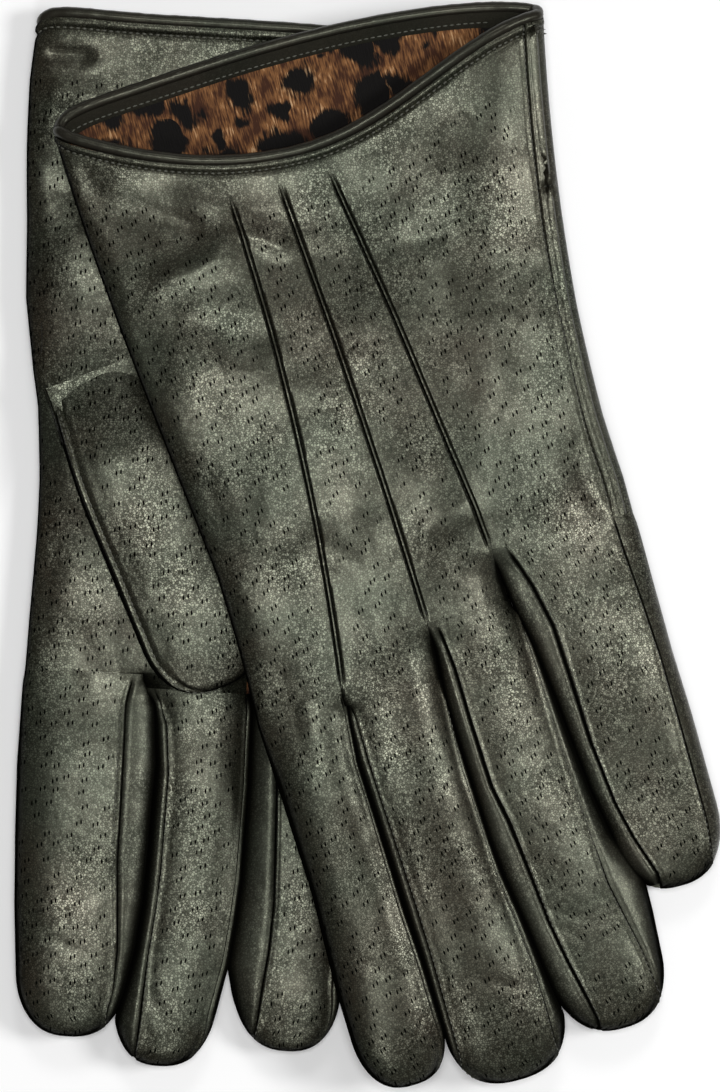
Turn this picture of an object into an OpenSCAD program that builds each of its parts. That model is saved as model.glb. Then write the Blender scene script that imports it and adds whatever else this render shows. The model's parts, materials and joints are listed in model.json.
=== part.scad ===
// A pair of lined leather driving gloves laid one on the other.
// The right-hand glove lies palm up on the table with its thumb folded over its palm. The left-hand glove
// lies back up on top of it, so the two palms face each other, and sags to the table past the lower glove.
// Each glove is drawn flat in its own frame: x runs across the hand with the thumb side at -x, y runs along
// it with 0 at the web between index and middle finger and the cuff at +y, and z is the height above the
// glove's own underside. place() then turns the glove, moves it and drapes the upper one.
// Units are millimetres. The pair's origin is under the middle of its outline, +Z is up.

/* [Leather and lining] */
// Thickness of the glove leather
leather = 0.9; // [0.6:0.1:1.3]
// Thickness of the pile lining
lining = 1.0; // [0.6:0.1:1.4]
// Room between the leather and the lining
lining_gap = 0.4; // [0.3:0.05:0.5]
// Gap between two pieces that are sewn together
seam_gap = 0.15; // [0.1:0.05:0.3]

/* [Hand] */
// Length from the cuff's corners to the web between index and middle finger
hand_len = 135.6; // [120:0.2:160]
// Width across the knuckles, lying flat
knuckle_w = 92.8; // [84:0.4:104]
// How far the cuff flares out on the thumb side
flare_thumb = 8.3; // [2:0.1:14]
// How far the cuff flares out on the little-finger side
flare_little = 11; // [2:0.1:16]
// Thickness of the hand, lying flat
hand_h = 10; // [9:0.5:13]
// How much nearer to the fingers the cuff's corner lies on the little-finger side
cuff_skew = 1.8; // [0:0.2:4]
// Depth of the scoop in the back's rim
back_scoop = 17.5; // [8:0.5:26]
// How far the palm's rim stands out past the corners on the upper glove
left_bow = 6.5; // [1:0.5:9]
// How far the palm's rim stands out past the corners on the lower glove
right_bow = 1; // [0:0.5:5]
// Width of the palm leather that shows round the little-finger side of the back
side_wrap = 5; // [3:0.5:8]
// Length of the cuff gusset on the little-finger side
gusset_len = 44; // [25:1:60]
// Diameter of the piped binding round the cuff
bind_d = 2.6; // [2.4:0.1:3.4]

/* [Points on the back] */
// Height of the three stitched ridges
point_h = 0.8; // [0.3:0.1:1.5]
// Half of a ridge's width at its foot
point_w = 1.3; // [0.8:0.1:2]
// Distance of the ridges' upper ends from the web line
point_top = 113; // [95:1:115]
// Spacing of the ridges at their upper ends
point_pitch = 11.5; // [8:0.5:14]
// Offset of the middle ridge's upper end to the thumb side
point_shift = 9.7; // [4:0.1:14]

/* [Fingers] */
// Thickness of a finger, lying flat
finger_h = 12; // [10.5:0.5:14]
// Width of the index finger where it leaves the hand
index_base = 21; // [19:0.2:24]
// Width of the middle finger where it leaves the hand
middle_base = 22.4; // [20:0.2:25]
// Width of the ring finger where it leaves the hand
ring_base = 20.2; // [18:0.2:23]
// Width of the upper glove's index finger half way along
index_w = 21.8; // [19:0.2:25]
// Width of the upper glove's middle finger half way along
middle_w = 20.4; // [19:0.2:25]
// Width of the upper glove's ring finger half way along, rolled so that its fourchettes show
ring_w = 25; // [21:0.2:27]
// Width of the upper glove's little finger half way along
little_w = 23; // [18:0.2:25]
// Width of the lower glove's index finger half way along, rolled so that its fourchette shows
low_index_w = 24.8; // [21:0.2:27]
// Width of the lower glove's middle finger half way along
low_middle_w = 21.6; // [19:0.2:25]
// Width of the lower glove's ring finger half way along
low_ring_w = 20.2; // [18:0.2:25]
// Width of the lower glove's little finger half way along
low_little_w = 20.6; // [18:0.2:25]
// Reach of the index fingertip past the web line
index_reach = 89; // [75:1:100]
// Reach of the middle fingertip past the web line
middle_reach = 94.4; // [80:0.2:106]
// Reach of the ring fingertip past the web line
ring_reach = 89.4; // [75:0.2:100]
// Reach of the little fingertip past the web line
little_reach = 61.8; // [50:0.2:72]
// How much lower the middle finger leaves the hand than the index finger
middle_web = 3; // [1:0.5:6]
// How much higher the ring finger leaves the hand than the index finger
ring_web = 10; // [4:0.5:14]
// How much higher the little finger leaves the hand than the index finger
little_web = 22; // [16:0.5:28]
// How much nearer to the fingertips the webs lie on the palm-up glove
palm_web_drop = 7; // [4:0.5:10]
// Gap between neighbouring fingers half way along
finger_gap = 0.7; // [0.6:0.1:1.5]
// Gap between the lower glove's index and middle fingers half way along
low_gap = 1.9; // [1.8:0.1:3]
// Gap between the ring finger and the little finger half way along
little_gap = 1.8; // [1:0.1:4]
// Room between a finger and the hand at its bending line
bend_gap = 0.4; // [0.3:0.1:0.8]

/* [Thumbs] */
// Length of a thumb
thumb_len = 76; // [60:1:84]
// Width of a thumb
thumb_w = 25; // [21:0.5:27]
// Thickness of a thumb, lying flat
thumb_h = 6.2; // [5.8:0.2:8]
// Distance of the lower glove's thumb root from the middle of its hand
right_thumb_x = 36; // [32:0.5:40]
// Distance of the lower glove's thumb root from its web line
right_thumb_y = 60; // [54:0.5:66]
// Lean of the lower glove's thumb across its palm
right_thumb_lean = 25; // [20:1:30]
// Distance of the upper glove's thumb root from the middle of its hand
left_thumb_x = 31; // [28:0.5:34]
// Distance of the upper glove's thumb root from its web line
left_thumb_y = 54; // [48:0.5:60]
// Lean of the upper glove's thumb under its palm
left_thumb_lean = 12; // [8:1:16]

/* [How the pair lies] */
// Turn of the upper glove
left_turn = 15; // [10:0.5:20]
// Turn of the lower glove
right_turn = -3.5; // [-8:0.5:0]
// How far the upper glove lies to the right of the lower one
apart_x = 47.4; // [40:0.2:54]
// How far the upper glove lies below the lower one
apart_y = 2.7; // [0:0.1:6]
// How much wider the lower glove lies, pressed flat
right_spread = 1.05; // [1:0.01:1.08]
// Room between two gloves or folds that lie on each other
stack_gap = 0.6; // [0.4:0.1:1.2]
// Width over which the upper glove sags to the table
sag_w = 36; // [28:1:44]

/* [Hidden] */
// A glove is [name, side that its back faces, turn, place, spread, rim bow, thumb root x, y and lean].
LEFT = ["left", 1, left_turn, [apart_x, -apart_y], 1, left_bow, left_thumb_x, left_thumb_y, left_thumb_lean];
RIGHT = ["right", -1, right_turn, [0, 0], right_spread, right_bow,
    right_thumb_x, right_thumb_y, right_thumb_lean];
GLOVES = [LEFT, RIGHT];
FINGERS = ["index", "middle", "ring", "little"];
HAND_PARTS = ["back", "palm", "gusset", "binding", "lining_back", "lining_palm"];
FINGER_PARTS = ["back", "palm", "fourchettes", "lining"];
THUMB_PARTS = ["thumb_outer", "thumb_inner", "thumb_lining"];

leather_colour = "#45463c";
fourchette_colour = "#34352d";
binding_colour = "#2f302a";
lining_colour = "#8a5638";

hand_bulge = 3.5;      // squareness of the hand's cross-section, 2 is an ellipse
hand_flat = 1.012;     // the cross-section is cut flat above and below where it would swell past 1
finger_bulge = 2.5;    // squareness of a finger's cross-section
scoop_at = -0.07;      // place of the scoop's lowest point across the cuff, from -1 to 1
bow_at = 0.1;          // place of the bow's highest point across the cuff, from -1 to 1
hand_rows = 8;         // rows of facets between the webs and the cuff
point_bow = [2.9, 0.9, 0.85];
point_fade = 10;       // length over which a ridge runs out at its upper end
waist = hand_len / 4;  // the hand is narrowest here on the little-finger side
mid_reach = 40;        // distance past the web line at which the finger widths hold
width_run = 0.36;      // share of the length over which a finger takes its own width
finger_shift = 1.2;    // the fingers lie this much to the little-finger side half way along
tip_r = 13;            // length of a finger's rounded tip
tip_from = 0.55;       // share of the length from which the lining draws back from the tip
fourchette_end = 0.93; // share of the finger's length that its fourchettes run
top_half = 58;         // half angle of a finger's back or palm panel round its cross-section
wrap_share = 0.985;    // columns that turn the edge of the hand lie at these shares of a strip
turn_share = 0.93;
// Places across the cuff, from -1 to 1, at which the binding turns
bind_half = [-1, -0.985, -0.93, -0.8, -0.6, -0.4, -0.2, 0, 0.2, 0.4, 0.6, 0.8, 0.93, 0.985];
tiny = 0.001;

up_widths = [index_w, middle_w, ring_w, little_w];
low_widths = [low_index_w, low_middle_w, low_ring_w, low_little_w];
low_tips = [1, 1.2, 1.25, 1];
reaches = [index_reach, middle_reach, ring_reach, little_reach];
up_gaps = [finger_gap, finger_gap, little_gap];
low_gaps = [low_gap, finger_gap, little_gap];
web_x = [-knuckle_w / 2 + index_base, -knuckle_w / 2 + index_base + middle_base,
    -knuckle_w / 2 + index_base + middle_base + ring_base];
base_x = concat([-knuckle_w / 2], web_x, [knuckle_w / 2]);
point_x = [for (k = [-1 : 1]) k * point_pitch - point_shift];
skin = leather + lining_gap + lining;
thumb_layer = thumb_h + stack_gap;
stack_h = hand_h + seam_gap + stack_gap;
// Where the upper glove's height changes, measured on the lower glove
side_room = 3;               // past the lower hand's little-finger side it starts to sag
ring_room = 7;               // past the lower ring finger it starts to sag
little_run = [-22, -2];      // from the little fingertip, where the sag moves over to the ring finger
thumb_run_x = [-6, 24];      // from the lower hand's side, where the folded thumbs' layer ends
thumb_run_y = 26;            // length over which the layer ends above the thumb roots
thumb_tip_run = [-46, -21];  // where the layer ends past the thumb tips

function mix(a, b, t) = a + (b - a) * t;
function smooth(a, b, v) = let (t = min(1, max(0, (v - a) / (b - a)))) t * t * (3 - 2 * t);
function flat(rows) = [for (r = rows) each r];
function signed_pow(v, e) = sign(v) * pow(abs(v), e);
function turned(p, a) = [p[0] * cos(a) - p[1] * sin(a), p[0] * sin(a) + p[1] * cos(a)];
function sum(v, n) = n <= 0 ? 0 : v[n - 1] + sum(v, n - 1);

// Webs, one for each finger: the line at which it leaves the hand
function webs(g) = let (drop = g[1] > 0 ? 0 : palm_web_drop)
    [-drop, -middle_web - drop, ring_web - drop, little_web - drop];
function low_rows(g) = let (w = webs(g)) [w[1], w[0], w[2], w[3]];

// Outline of the hand
function left_edge(y) = -knuckle_w / 2 - flare_thumb * smooth(0, hand_len, y);
function right_edge(y) =
    knuckle_w / 2 + flare_little * pow(max(0, (y - waist) / (hand_len - waist)), 2);
function point_line(k, y) = let (s = min(1, max(0, y / point_top)))
    mix(web_x[k], point_x[k], s) + point_bow[k] * 4 * s * (1 - s);
function strip_line(k, y) = k == 0 ? left_edge(y) : k == 4 ? right_edge(y) : point_line(k - 1, y);
function cuff_line(t) = hand_len - cuff_skew * (t + 1) / 2;
function back_rim(t) = let (u = (t - scoop_at) / (t < scoop_at ? 1 + scoop_at : 1 - scoop_at))
    cuff_line(t) - back_scoop * pow(max(0, 1 - u * u), t < scoop_at ? 1 : 2);
function palm_rim(g, t) = let (u = (t - bow_at) / (t < bow_at ? 1 + bow_at : 1 - bow_at))
    cuff_line(t) + g[5] * pow(max(0, 1 - u * u), 0.7);

// Outline of a finger
function base_mid(f) = (base_x[f] + base_x[f + 1]) / 2;
function widths(g) = g[1] > 0 ? up_widths : low_widths;
function gaps(g) = g[1] > 0 ? up_gaps : low_gaps;
function mid_x(g, f) = let (w = widths(g)) -knuckle_w / 2 + w[0] / 2 + finger_shift
    + sum([for (i = [0 : 2]) (w[i] + w[i + 1]) / 2 + gaps(g)[i]], f);
function finger_len(g, f) = webs(g)[f] + reaches[f];
// Share of the sideways shift at some distance from the web: the upper glove's fingers are straight, and the
// lower glove's bend so that the tips lie at their own share
function lean_share(g, f, l) = let (whole = webs(g)[f] + mid_reach, v = l / whole,
    tip = finger_len(g, f) / whole, bend = g[1] > 0 ? 0 : (low_tips[f] - tip) / (tip * tip - tip))
    v * (bend * v + 1 - bend);
// The lower glove's ring and little fingers are pressed flat by the upper glove
function finger_thick(g, f) = g[1] < 0 && f > 1 ? hand_h : finger_h;
function tip_start(g, f) = 1 - tip_r / finger_len(g, f);
function finger_half(g, f, s) =
    mix((base_x[f + 1] - base_x[f] - finger_gap) / 2, widths(g)[f] / 2, smooth(0, width_run, s));
// Rows along a finger: [share of the length, share of the width, share of the thickness]
function finger_rows(start, root) = concat(
    [for (s = [0, 0.15, 0.3, tip_from, 0.7]) [s, 1, mix(root, 1, smooth(0, 0.3, s))]],
    [for (a = [0, 32, 58, 78]) [start + (1 - start) * sin(a), pow(cos(a), 0.75), pow(cos(a), 0.6)]],
    [[1, 0.3, 0]]);

// The table falls away under the upper glove past the lower glove's little-finger side
lower_side = (knuckle_w / 2 + side_room) * right_spread;
lower_ring_side = (mid_x(RIGHT, 2) + low_ring_w / 2 + ring_room) * right_spread;
function sag_start(y) =
    mix(lower_ring_side, lower_side, smooth(little_run[0], little_run[1], y + little_reach));
function thumb_bump(p) = (1 - smooth(thumb_run_x[0], thumb_run_x[1], p[0] - lower_side))
    * (1 - smooth(0, thumb_run_y, p[1] - right_thumb_y)) * smooth(thumb_tip_run[0], thumb_tip_run[1], p[1]);
function drape(p) = let (r = turned(p, -right_turn), x0 = sag_start(r[1]))
    stack_h * (1 - smooth(x0, x0 + sag_w, r[0])) + thumb_layer * thumb_bump(r);

// The outline's box sets the origin
function spot(g, x, y) = turned([x * g[4], y], g[2]) + g[3];
function finger_spot(g, f, r, side) = let (l = r[0] * finger_len(g, f) + bend_gap)
    spot(g, finger_mid(g, f, l) + side * finger_half(g, f, r[0]) * r[1], webs(g)[f] - l);
outline = concat(
    [for (g = GLOVES, f = [0 : 3], r = rows_of(g, f), e = [-1, 1]) finger_spot(g, f, r, e)],
    [for (g = GLOVES, y = [0, hand_len / 2], k = [0, 4]) spot(g, strip_line(k, y), y)],
    [for (g = GLOVES, t = bind_half, e = [-1, 1])
        spot(g, hand_mid(hand_len) + e * t * hand_half(hand_len), palm_rim(g, e * t) + bind_d + seam_gap)]);
middle = [for (k = [0, 1]) (min([for (p = outline) p[k]]) + max([for (p = outline) p[k]])) / 2];

// How far a spot of a glove is lifted, which is nothing on the lower one
function lift(g, x, y) = g[1] > 0 ? drape(spot(g, x, y)) : 0;
function place(g, p, lifted) = let (q = spot(g, p[0], p[1]) - middle) [q[0], q[1], p[2] + lifted];

// A closed sheet between an outer and an inner grid of points, with the cells that mask marks
function cell(m, i, j) = i >= 0 && j >= 0 && i < len(m) && j < len(m[0]) && m[i][j];
function sheet_faces(m, w, n) = [for (i = [0 : len(m) - 1], j = [0 : w - 2]) if (m[i][j])
    let (a = i * w + j, b = a + 1, c = a + w + 1, d = a + w) each concat(
        [[a, b, c], [a, c, d], [n + a, n + c, n + b], [n + a, n + d, n + c]],
        cell(m, i - 1, j) ? [] : [[a, n + a, n + b], [a, n + b, b]],
        cell(m, i + 1, j) ? [] : [[d, c, n + c], [d, n + c, n + d]],
        cell(m, i, j - 1) ? [] : [[a, d, n + d], [a, n + d, n + a]],
        cell(m, i, j + 1) ? [] : [[b, n + b, n + c], [b, n + c, c]])];
function reversed(faces) = [for (f = faces) [f[0], f[2], f[1]]];
function full(rows, cols) = [for (i = [1 : rows - 1]) [for (j = [1 : cols - 1]) true]];
module sheet(outer, inner, mask, flip) {
    faces = sheet_faces(mask, len(outer[0]), len(outer) * len(outer[0]));
    polyhedron(concat(flat(outer), flat(inner)), flip ? reversed(faces) : faces);
}

// A closed sock from rings of points, shut at the far end
function sock_faces(r, w, n) = concat(
    [for (i = [0 : r - 2], j = [0 : w - 1])
        let (a = i * w + j, b = i * w + (j + 1) % w, c = b + w, d = a + w)
        each [[a, b, c], [a, c, d], [n + a, n + c, n + b], [n + a, n + d, n + c]]],
    [for (j = [0 : w - 1]) let (a = (r - 1) * w + j, b = (r - 1) * w + (j + 1) % w)
        each [[a, b, r * w], [n + a, n + r * w, n + b]]],
    [for (j = [0 : w - 1]) let (b = (j + 1) % w) each [[j, n + j, n + b], [j, n + b, b]]]);
module sock(outer, outer_tip, inner, inner_tip) {
    n = len(outer) * len(outer[0]) + 1;
    polyhedron(concat(flat(outer), [outer_tip], flat(inner), [inner_tip]),
        sock_faces(len(outer), len(outer[0]), n));
}

// Columns across the hand: [strip, share of the strip, offset, turned over the edge]
ridge_cols = [for (k = [1 : 3]) each [[k, 0, -point_w, 0], [k, 0, 0, 0], [k, 0, point_w, 0], [k, 0.5, 0, 0]]];
edge_cols = [[0, 0, 0, 0], [0, 0.03, 0, 0], [0, 0.14, 0, 0], [0, 0.4, 0, 0]];
back_cols = concat(edge_cols, [[0, 0.75, 0, 0]], ridge_cols,
    [[3, 0.7, 0, 0], [4, 0, -side_wrap - seam_gap, 0]]);
palm_cols = concat(edge_cols, [for (k = [1 : 2], s = [0, 0.5]) [k, s, 0, 0]],
    [for (s = [0, 0.35, 0.7, turn_share, wrap_share]) [3, s, 0, 0]], [[4, 0, 0, 0]]);
wrap_cols = [[3, wrap_share, 0, 1], [3, turn_share, 0, 1], [4, 0, -side_wrap, 1]];
lining_cols = concat(back_cols, [[3, turn_share, 0, 0], [3, wrap_share, 0, 0], [4, 0, 0, 0]]);
function strip_of(c) = c[2] < 0 ? c[0] - 1 : c[0];
function col_x(c, y) = mix(strip_line(c[0], y), strip_line(min(4, c[0] + 1), y), c[1]) + c[2];
function hand_mid(y) = (left_edge(y) + right_edge(y)) / 2;
function hand_half(y) = (right_edge(y) - left_edge(y)) / 2;
function across(c, y) = (col_x(c, y) - hand_mid(y)) / hand_half(y);
function swell(t) = min(1, hand_flat * pow(1 - pow(abs(t), hand_bulge), 1 / hand_bulge));
function hand_row_list(g) = concat([for (w = low_rows(g)) [w, 0]],
    [for (i = [1 : hand_rows]) [low_rows(g)[3], i / hand_rows]]);
function ridge(c, y) = c[0] >= 1 && c[0] <= 3 && c[1] == 0 && c[2] == 0
    ? point_h * (1 - smooth(point_top - point_fade, point_top, y)) : 0;
function row_y(g, r, c, palm) = let (t = across(c, hand_len))
    mix(r[0], palm && c[3] == 0 ? palm_rim(g, t) : back_rim(t), r[1]);
// A point of a hand panel, sunk by some depth from the outer face
function hand_point(g, r, c, palm, depth, raised = 0) = let (
    y = row_y(g, r, c, palm), t = min(1, max(-1, across(c, y))),
    side = (palm ? -g[1] : g[1]) * (c[3] == 1 ? -1 : 1),
    shift = palm ? 0 : seam_gap,
    rise = (hand_h / 2 - depth - shift) * swell(t) + shift,
    x = hand_mid(y) + t * (hand_half(y) - depth))
    place(g, [x, y, hand_h / 2 + side * (rise + raised)], lift(g, x, y));
function hand_grid(g, cols, palm, depth, raise = false) = [for (r = hand_row_list(g)) [for (c = cols)
    hand_point(g, r, c, palm, depth, raise ? ridge(c, row_y(g, r, c, palm)) : 0)]];
// A strip has cells from its own web up; gusset cells are kept or left out
function hand_mask(g, cols, gusset) = let (rows = hand_row_list(g))
    [for (i = [0 : len(rows) - 2]) [for (j = [0 : len(cols) - 2]) let (k = min(3, strip_of(cols[j])))
        rows[i][0] >= webs(g)[k] - tiny
        && (cols[j + 1][3] == 1 && row_y(g, rows[i], cols[j], true) > hand_len - gusset_len) == gusset]];

module hand_back(g) color(leather_colour)
    sheet(hand_grid(g, back_cols, false, 0, g[1] > 0), hand_grid(g, back_cols, false, leather),
        hand_mask(g, back_cols, false), g[1] > 0);
module hand_palm(g, gusset = false) color(leather_colour) {
    cols = concat(palm_cols, wrap_cols);
    sheet(hand_grid(g, cols, true, 0), hand_grid(g, cols, true, leather),
        hand_mask(g, cols, gusset), g[1] < 0);
}
module hand_gusset(g) hand_palm(g, true);
module hand_lining(g, palm) color(lining_colour) {
    cols = palm ? palm_cols : lining_cols;
    sheet(hand_grid(g, cols, palm, leather + lining_gap), hand_grid(g, cols, palm, skin),
        hand_mask(g, cols, false), palm == (g[1] < 0));
}

// The binding is a bead that follows the back's rim and returns along the palm's rim
bind_sides = 6;
rim_step = 0.04;
bind_depth = max(skin, bind_d) / 2;
function bind_line(g) = concat([for (t = bind_half) [t, 1]], [for (t = bind_half) [-t, -1]]);
function rim(g, t, side) = side > 0 ? back_rim(t) : palm_rim(g, t);
function rim_slope(g, t, side) = let (a = max(-1, t - rim_step), b = min(1, t + rim_step))
    (rim(g, b, side) - rim(g, a, side)) / (b - a) / hand_half(hand_len);
function bind_centre(g, b) = let (t = b[0], side = b[1],
    y = rim(g, t, side) + (bind_d / 2 + 2 * seam_gap) * norm([1, rim_slope(g, t, side)]),
    x = hand_mid(min(y, hand_len)) + t * (hand_half(min(y, hand_len)) - bind_depth),
    z = (hand_h / 2 - bind_depth) * swell(t))
    [x, y, hand_h / 2 + side * g[1] * z];
function bind_ring(g, line, i) = let (n = len(line), c = bind_centre(g, line[i]),
    a = bind_centre(g, line[(i + n - 1) % n]), b = bind_centre(g, line[(i + 1) % n]),
    along = [b[0] - a[0], b[2] - a[2]], out = [-along[1], along[0]] / norm(along) * g[1])
    [for (k = [0 : bind_sides - 1]) let (q = 360 * (k + 0.5) / bind_sides)
        place(g, c + bind_d / 2 * [out[0] * cos(q), sin(q), out[1] * cos(q)], lift(g, c[0], c[1]))];
module hand_binding(g) color(binding_colour) {
    line = bind_line(g);
    n = len(line);
    rings = [for (i = [0 : n - 1]) bind_ring(g, line, i)];
    faces = [for (i = [0 : n - 1], k = [0 : bind_sides - 1]) let (i2 = (i + 1) % n, k2 = (k + 1) % bind_sides,
        a = i * bind_sides + k, b = i * bind_sides + k2, c = i2 * bind_sides + k2, d = i2 * bind_sides + k)
        each [[a, b, c], [a, c, d]]];
    polyhedron(flat(rings), faces);
}

// The upper glove's fingers are draped row by row, each row as a straight slope across the finger
function finger_mid(g, f, l) = mix(base_mid(f), mid_x(g, f), lean_share(g, f, l));
function finger_lift(g, f, s, x) = let (l = s * finger_len(g, f), half = finger_half(g, f, s),
    ends = [for (e = [-half, half]) lift(g, finger_mid(g, f, l) + e, webs(g)[f] - l)])
    mix(ends[0], ends[1], 0.5 + x / half / 2);
// A point of a finger: row, angle round its cross-section from the top, and depth from the outer face
function finger_point(g, f, r, q, depth, shift = 0) = let (
    l = r[0] * finger_len(g, f) - depth * smooth(tip_from, 1, r[0]) + bend_gap,
    half = (finger_half(g, f, r[0]) - depth) * r[1], rise = (finger_thick(g, f) / 2 - depth) * r[2],
    x = half * signed_pow(sin(q), 2 / finger_bulge), z = rise * signed_pow(cos(q), 2 / finger_bulge),
    core = (mix(hand_h, finger_thick(g, f), smooth(0, 0.3, r[0])) + seam_gap) / 2)
    place(g, [finger_mid(g, f, l) + x, webs(g)[f] - l, core + z + shift], finger_lift(g, f, r[0], x));
function rows_of(g, f) = finger_rows(tip_start(g, f), hand_h / finger_thick(g, f));
// Half angle of the panels, which close over the fourchettes at the tip
function panel_half(s) = mix(top_half, 86, smooth(0.6, 0.95, s));
function panel_from(f, s) = f > 0 ? -panel_half(s) : -90;
function panel_to(f, s) = f < 3 ? panel_half(s) : 90;
panel_cols = [0, 0.2, 0.4, 0.6, 0.8, 1];
function finger_grid(g, f, side, depth) = [for (r = rows_of(g, f)) [for (c = panel_cols)
    let (q = mix(panel_from(f, r[0]), panel_to(f, r[0]), c))
    finger_point(g, f, r, side > 0 ? q : 180 - q, depth, side * seam_gap / 2)]];
module finger_panel(g, f, side) color(leather_colour)
    sheet(finger_grid(g, f, side, 0), finger_grid(g, f, side, leather),
        full(len(rows_of(g, f)), len(panel_cols)), side < 0);
module finger_fourchettes(g, f) color(fourchette_colour)
    for (e = [-1, 1]) if ((e < 0 && f > 0) || (e > 0 && f < 3)) {
        rows = [for (r = rows_of(g, f)) if (r[0] < fourchette_end) r];
        grids = [for (depth = [0, leather]) [for (r = rows) let (q = panel_half(r[0]) + 2)
            [for (c = [0, 0.5, 1]) finger_point(g, f, r, e * mix(q, 180 - q, c), depth)]]];
        sheet(grids[0], grids[1], full(len(rows), 3), e < 0);
    }
sock_sides = 8;
function sock_rings(rows, ring) = [for (r = rows) if (r[2] > 0.3) ring(r)];
module finger_lining(g, f) color(lining_colour) {
    ring = function(depth) function(r)
        [for (k = [0 : sock_sides - 1]) finger_point(g, f, r, 360 * k / sock_sides, depth)];
    tip = function(depth) finger_point(g, f, [1, 0, 0], 0, depth);
    rows = rows_of(g, f);
    sock(sock_rings(rows, ring(leather + lining_gap)), tip(leather + lining_gap),
        sock_rings(rows, ring(skin)), tip(skin));
}

// A folded thumb lies flat between the two palms
thumb_root_h = 0.32; // share of the thumb's thickness at its root
thumb_start = 1 - tip_r / thumb_len;
thumb_rows = finger_rows(thumb_start, thumb_root_h);
function thumb_half(s) = thumb_w / 2 * mix(0.86, 1, smooth(0, 0.4, s));
function thumb_point(g, r, q, depth, shift = 0) = let (
    l = r[0] * (thumb_len - depth), half = (thumb_half(r[0]) - depth) * r[1],
    rise = (thumb_h / 2 - depth) * r[2],
    p = turned([half * signed_pow(sin(q), 2 / finger_bulge), -l], g[8]) + [-g[6], g[7]],
    z = thumb_h / 2 * mix(thumb_root_h, 1, smooth(0, 0.3, r[0]))
        + rise * signed_pow(cos(q), 2 / finger_bulge) + shift)
    place(g, [p[0], p[1], stack_h + z], 0);
module thumb_panel(g, side) color(leather_colour) {
    grids = [for (depth = [0, leather]) [for (r = thumb_rows) [for (c = panel_cols)
        let (q = mix(-90, 90, c)) thumb_point(g, r, side > 0 ? q : 180 - q, depth, side * seam_gap / 2)]]];
    sheet(grids[0], grids[1], full(len(thumb_rows), len(panel_cols)), side < 0);
}
module thumb_lining(g) color(lining_colour) {
    ring = function(depth) function(r)
        [for (k = [0 : sock_sides - 1]) thumb_point(g, r, 360 * k / sock_sides, depth)];
    tip = function(depth) thumb_point(g, [1, 0, 0], 0, depth);
    sock(sock_rings(thumb_rows, ring(leather + lining_gap)), tip(leather + lining_gap),
        sock_rings(thumb_rows, ring(skin)), tip(skin));
}

for (g = GLOVES) {
    hand_back(g);
    hand_palm(g);
    hand_gusset(g);
    hand_binding(g);
    hand_lining(g, false);
    hand_lining(g, true);
    for (f = [0 : 3]) {
        name = str(g[0], "_", FINGERS[f], "_");
        finger_panel(g, f, g[1]);
        finger_panel(g, f, -g[1]);
        finger_fourchettes(g, f);
        finger_lining(g, f);
    }
    thumb_panel(g, -g[1]);
    thumb_panel(g, g[1]);
    thumb_lining(g);
}
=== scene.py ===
# %% [markdown]
# # A pair of leather driving gloves
# The right-hand glove lies palm up with its thumb folded over the palm, and the left-hand glove lies back
# up on top of it. Every piece of leather and lining is a thin sheet, so each one is made here as a grid of
# points that is bent into shape, given its thickness and sewn to its neighbours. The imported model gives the
# fixed frame.

# %% The frame
import json
import math
from types import SimpleNamespace

import bmesh
import bpy
import numpy as np
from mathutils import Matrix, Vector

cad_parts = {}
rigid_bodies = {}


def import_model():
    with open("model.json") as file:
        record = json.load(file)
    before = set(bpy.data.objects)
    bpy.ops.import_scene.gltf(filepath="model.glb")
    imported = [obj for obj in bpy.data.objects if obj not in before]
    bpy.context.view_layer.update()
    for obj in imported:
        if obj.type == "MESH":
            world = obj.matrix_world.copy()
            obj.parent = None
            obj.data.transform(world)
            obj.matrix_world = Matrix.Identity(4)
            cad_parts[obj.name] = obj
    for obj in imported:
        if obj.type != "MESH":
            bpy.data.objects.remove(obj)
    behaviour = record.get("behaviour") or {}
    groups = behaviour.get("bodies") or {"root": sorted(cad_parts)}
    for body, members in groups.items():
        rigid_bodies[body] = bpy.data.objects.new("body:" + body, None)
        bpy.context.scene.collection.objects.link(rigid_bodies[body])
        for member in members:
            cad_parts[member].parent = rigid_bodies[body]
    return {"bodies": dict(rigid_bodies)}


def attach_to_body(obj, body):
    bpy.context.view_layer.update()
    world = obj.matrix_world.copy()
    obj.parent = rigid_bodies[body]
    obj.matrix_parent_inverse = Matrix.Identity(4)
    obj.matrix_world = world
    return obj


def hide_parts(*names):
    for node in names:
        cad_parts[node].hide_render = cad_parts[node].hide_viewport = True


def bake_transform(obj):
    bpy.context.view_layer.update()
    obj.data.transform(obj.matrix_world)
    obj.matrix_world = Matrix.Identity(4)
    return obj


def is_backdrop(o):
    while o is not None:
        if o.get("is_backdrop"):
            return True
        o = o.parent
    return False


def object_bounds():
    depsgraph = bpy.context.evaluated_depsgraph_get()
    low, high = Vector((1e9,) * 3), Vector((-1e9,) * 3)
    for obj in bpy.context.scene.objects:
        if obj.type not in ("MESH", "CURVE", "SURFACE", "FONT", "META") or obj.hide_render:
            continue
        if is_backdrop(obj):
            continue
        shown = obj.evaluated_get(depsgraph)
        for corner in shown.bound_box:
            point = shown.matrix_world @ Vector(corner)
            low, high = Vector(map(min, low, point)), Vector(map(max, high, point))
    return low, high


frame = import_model()
cad_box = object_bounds()

# %% [markdown]
# ## The gloves' measures
# These are the measures that the part's source uses, in millimetres. Each glove is drawn flat in its own
# frame: x runs across the hand with the thumb side at -x, y runs along it with 0 at the web between index
# and middle finger and the cuff at +y. Repeating the same outline here keeps every sheet on its solid with
# no fitting.

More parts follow.
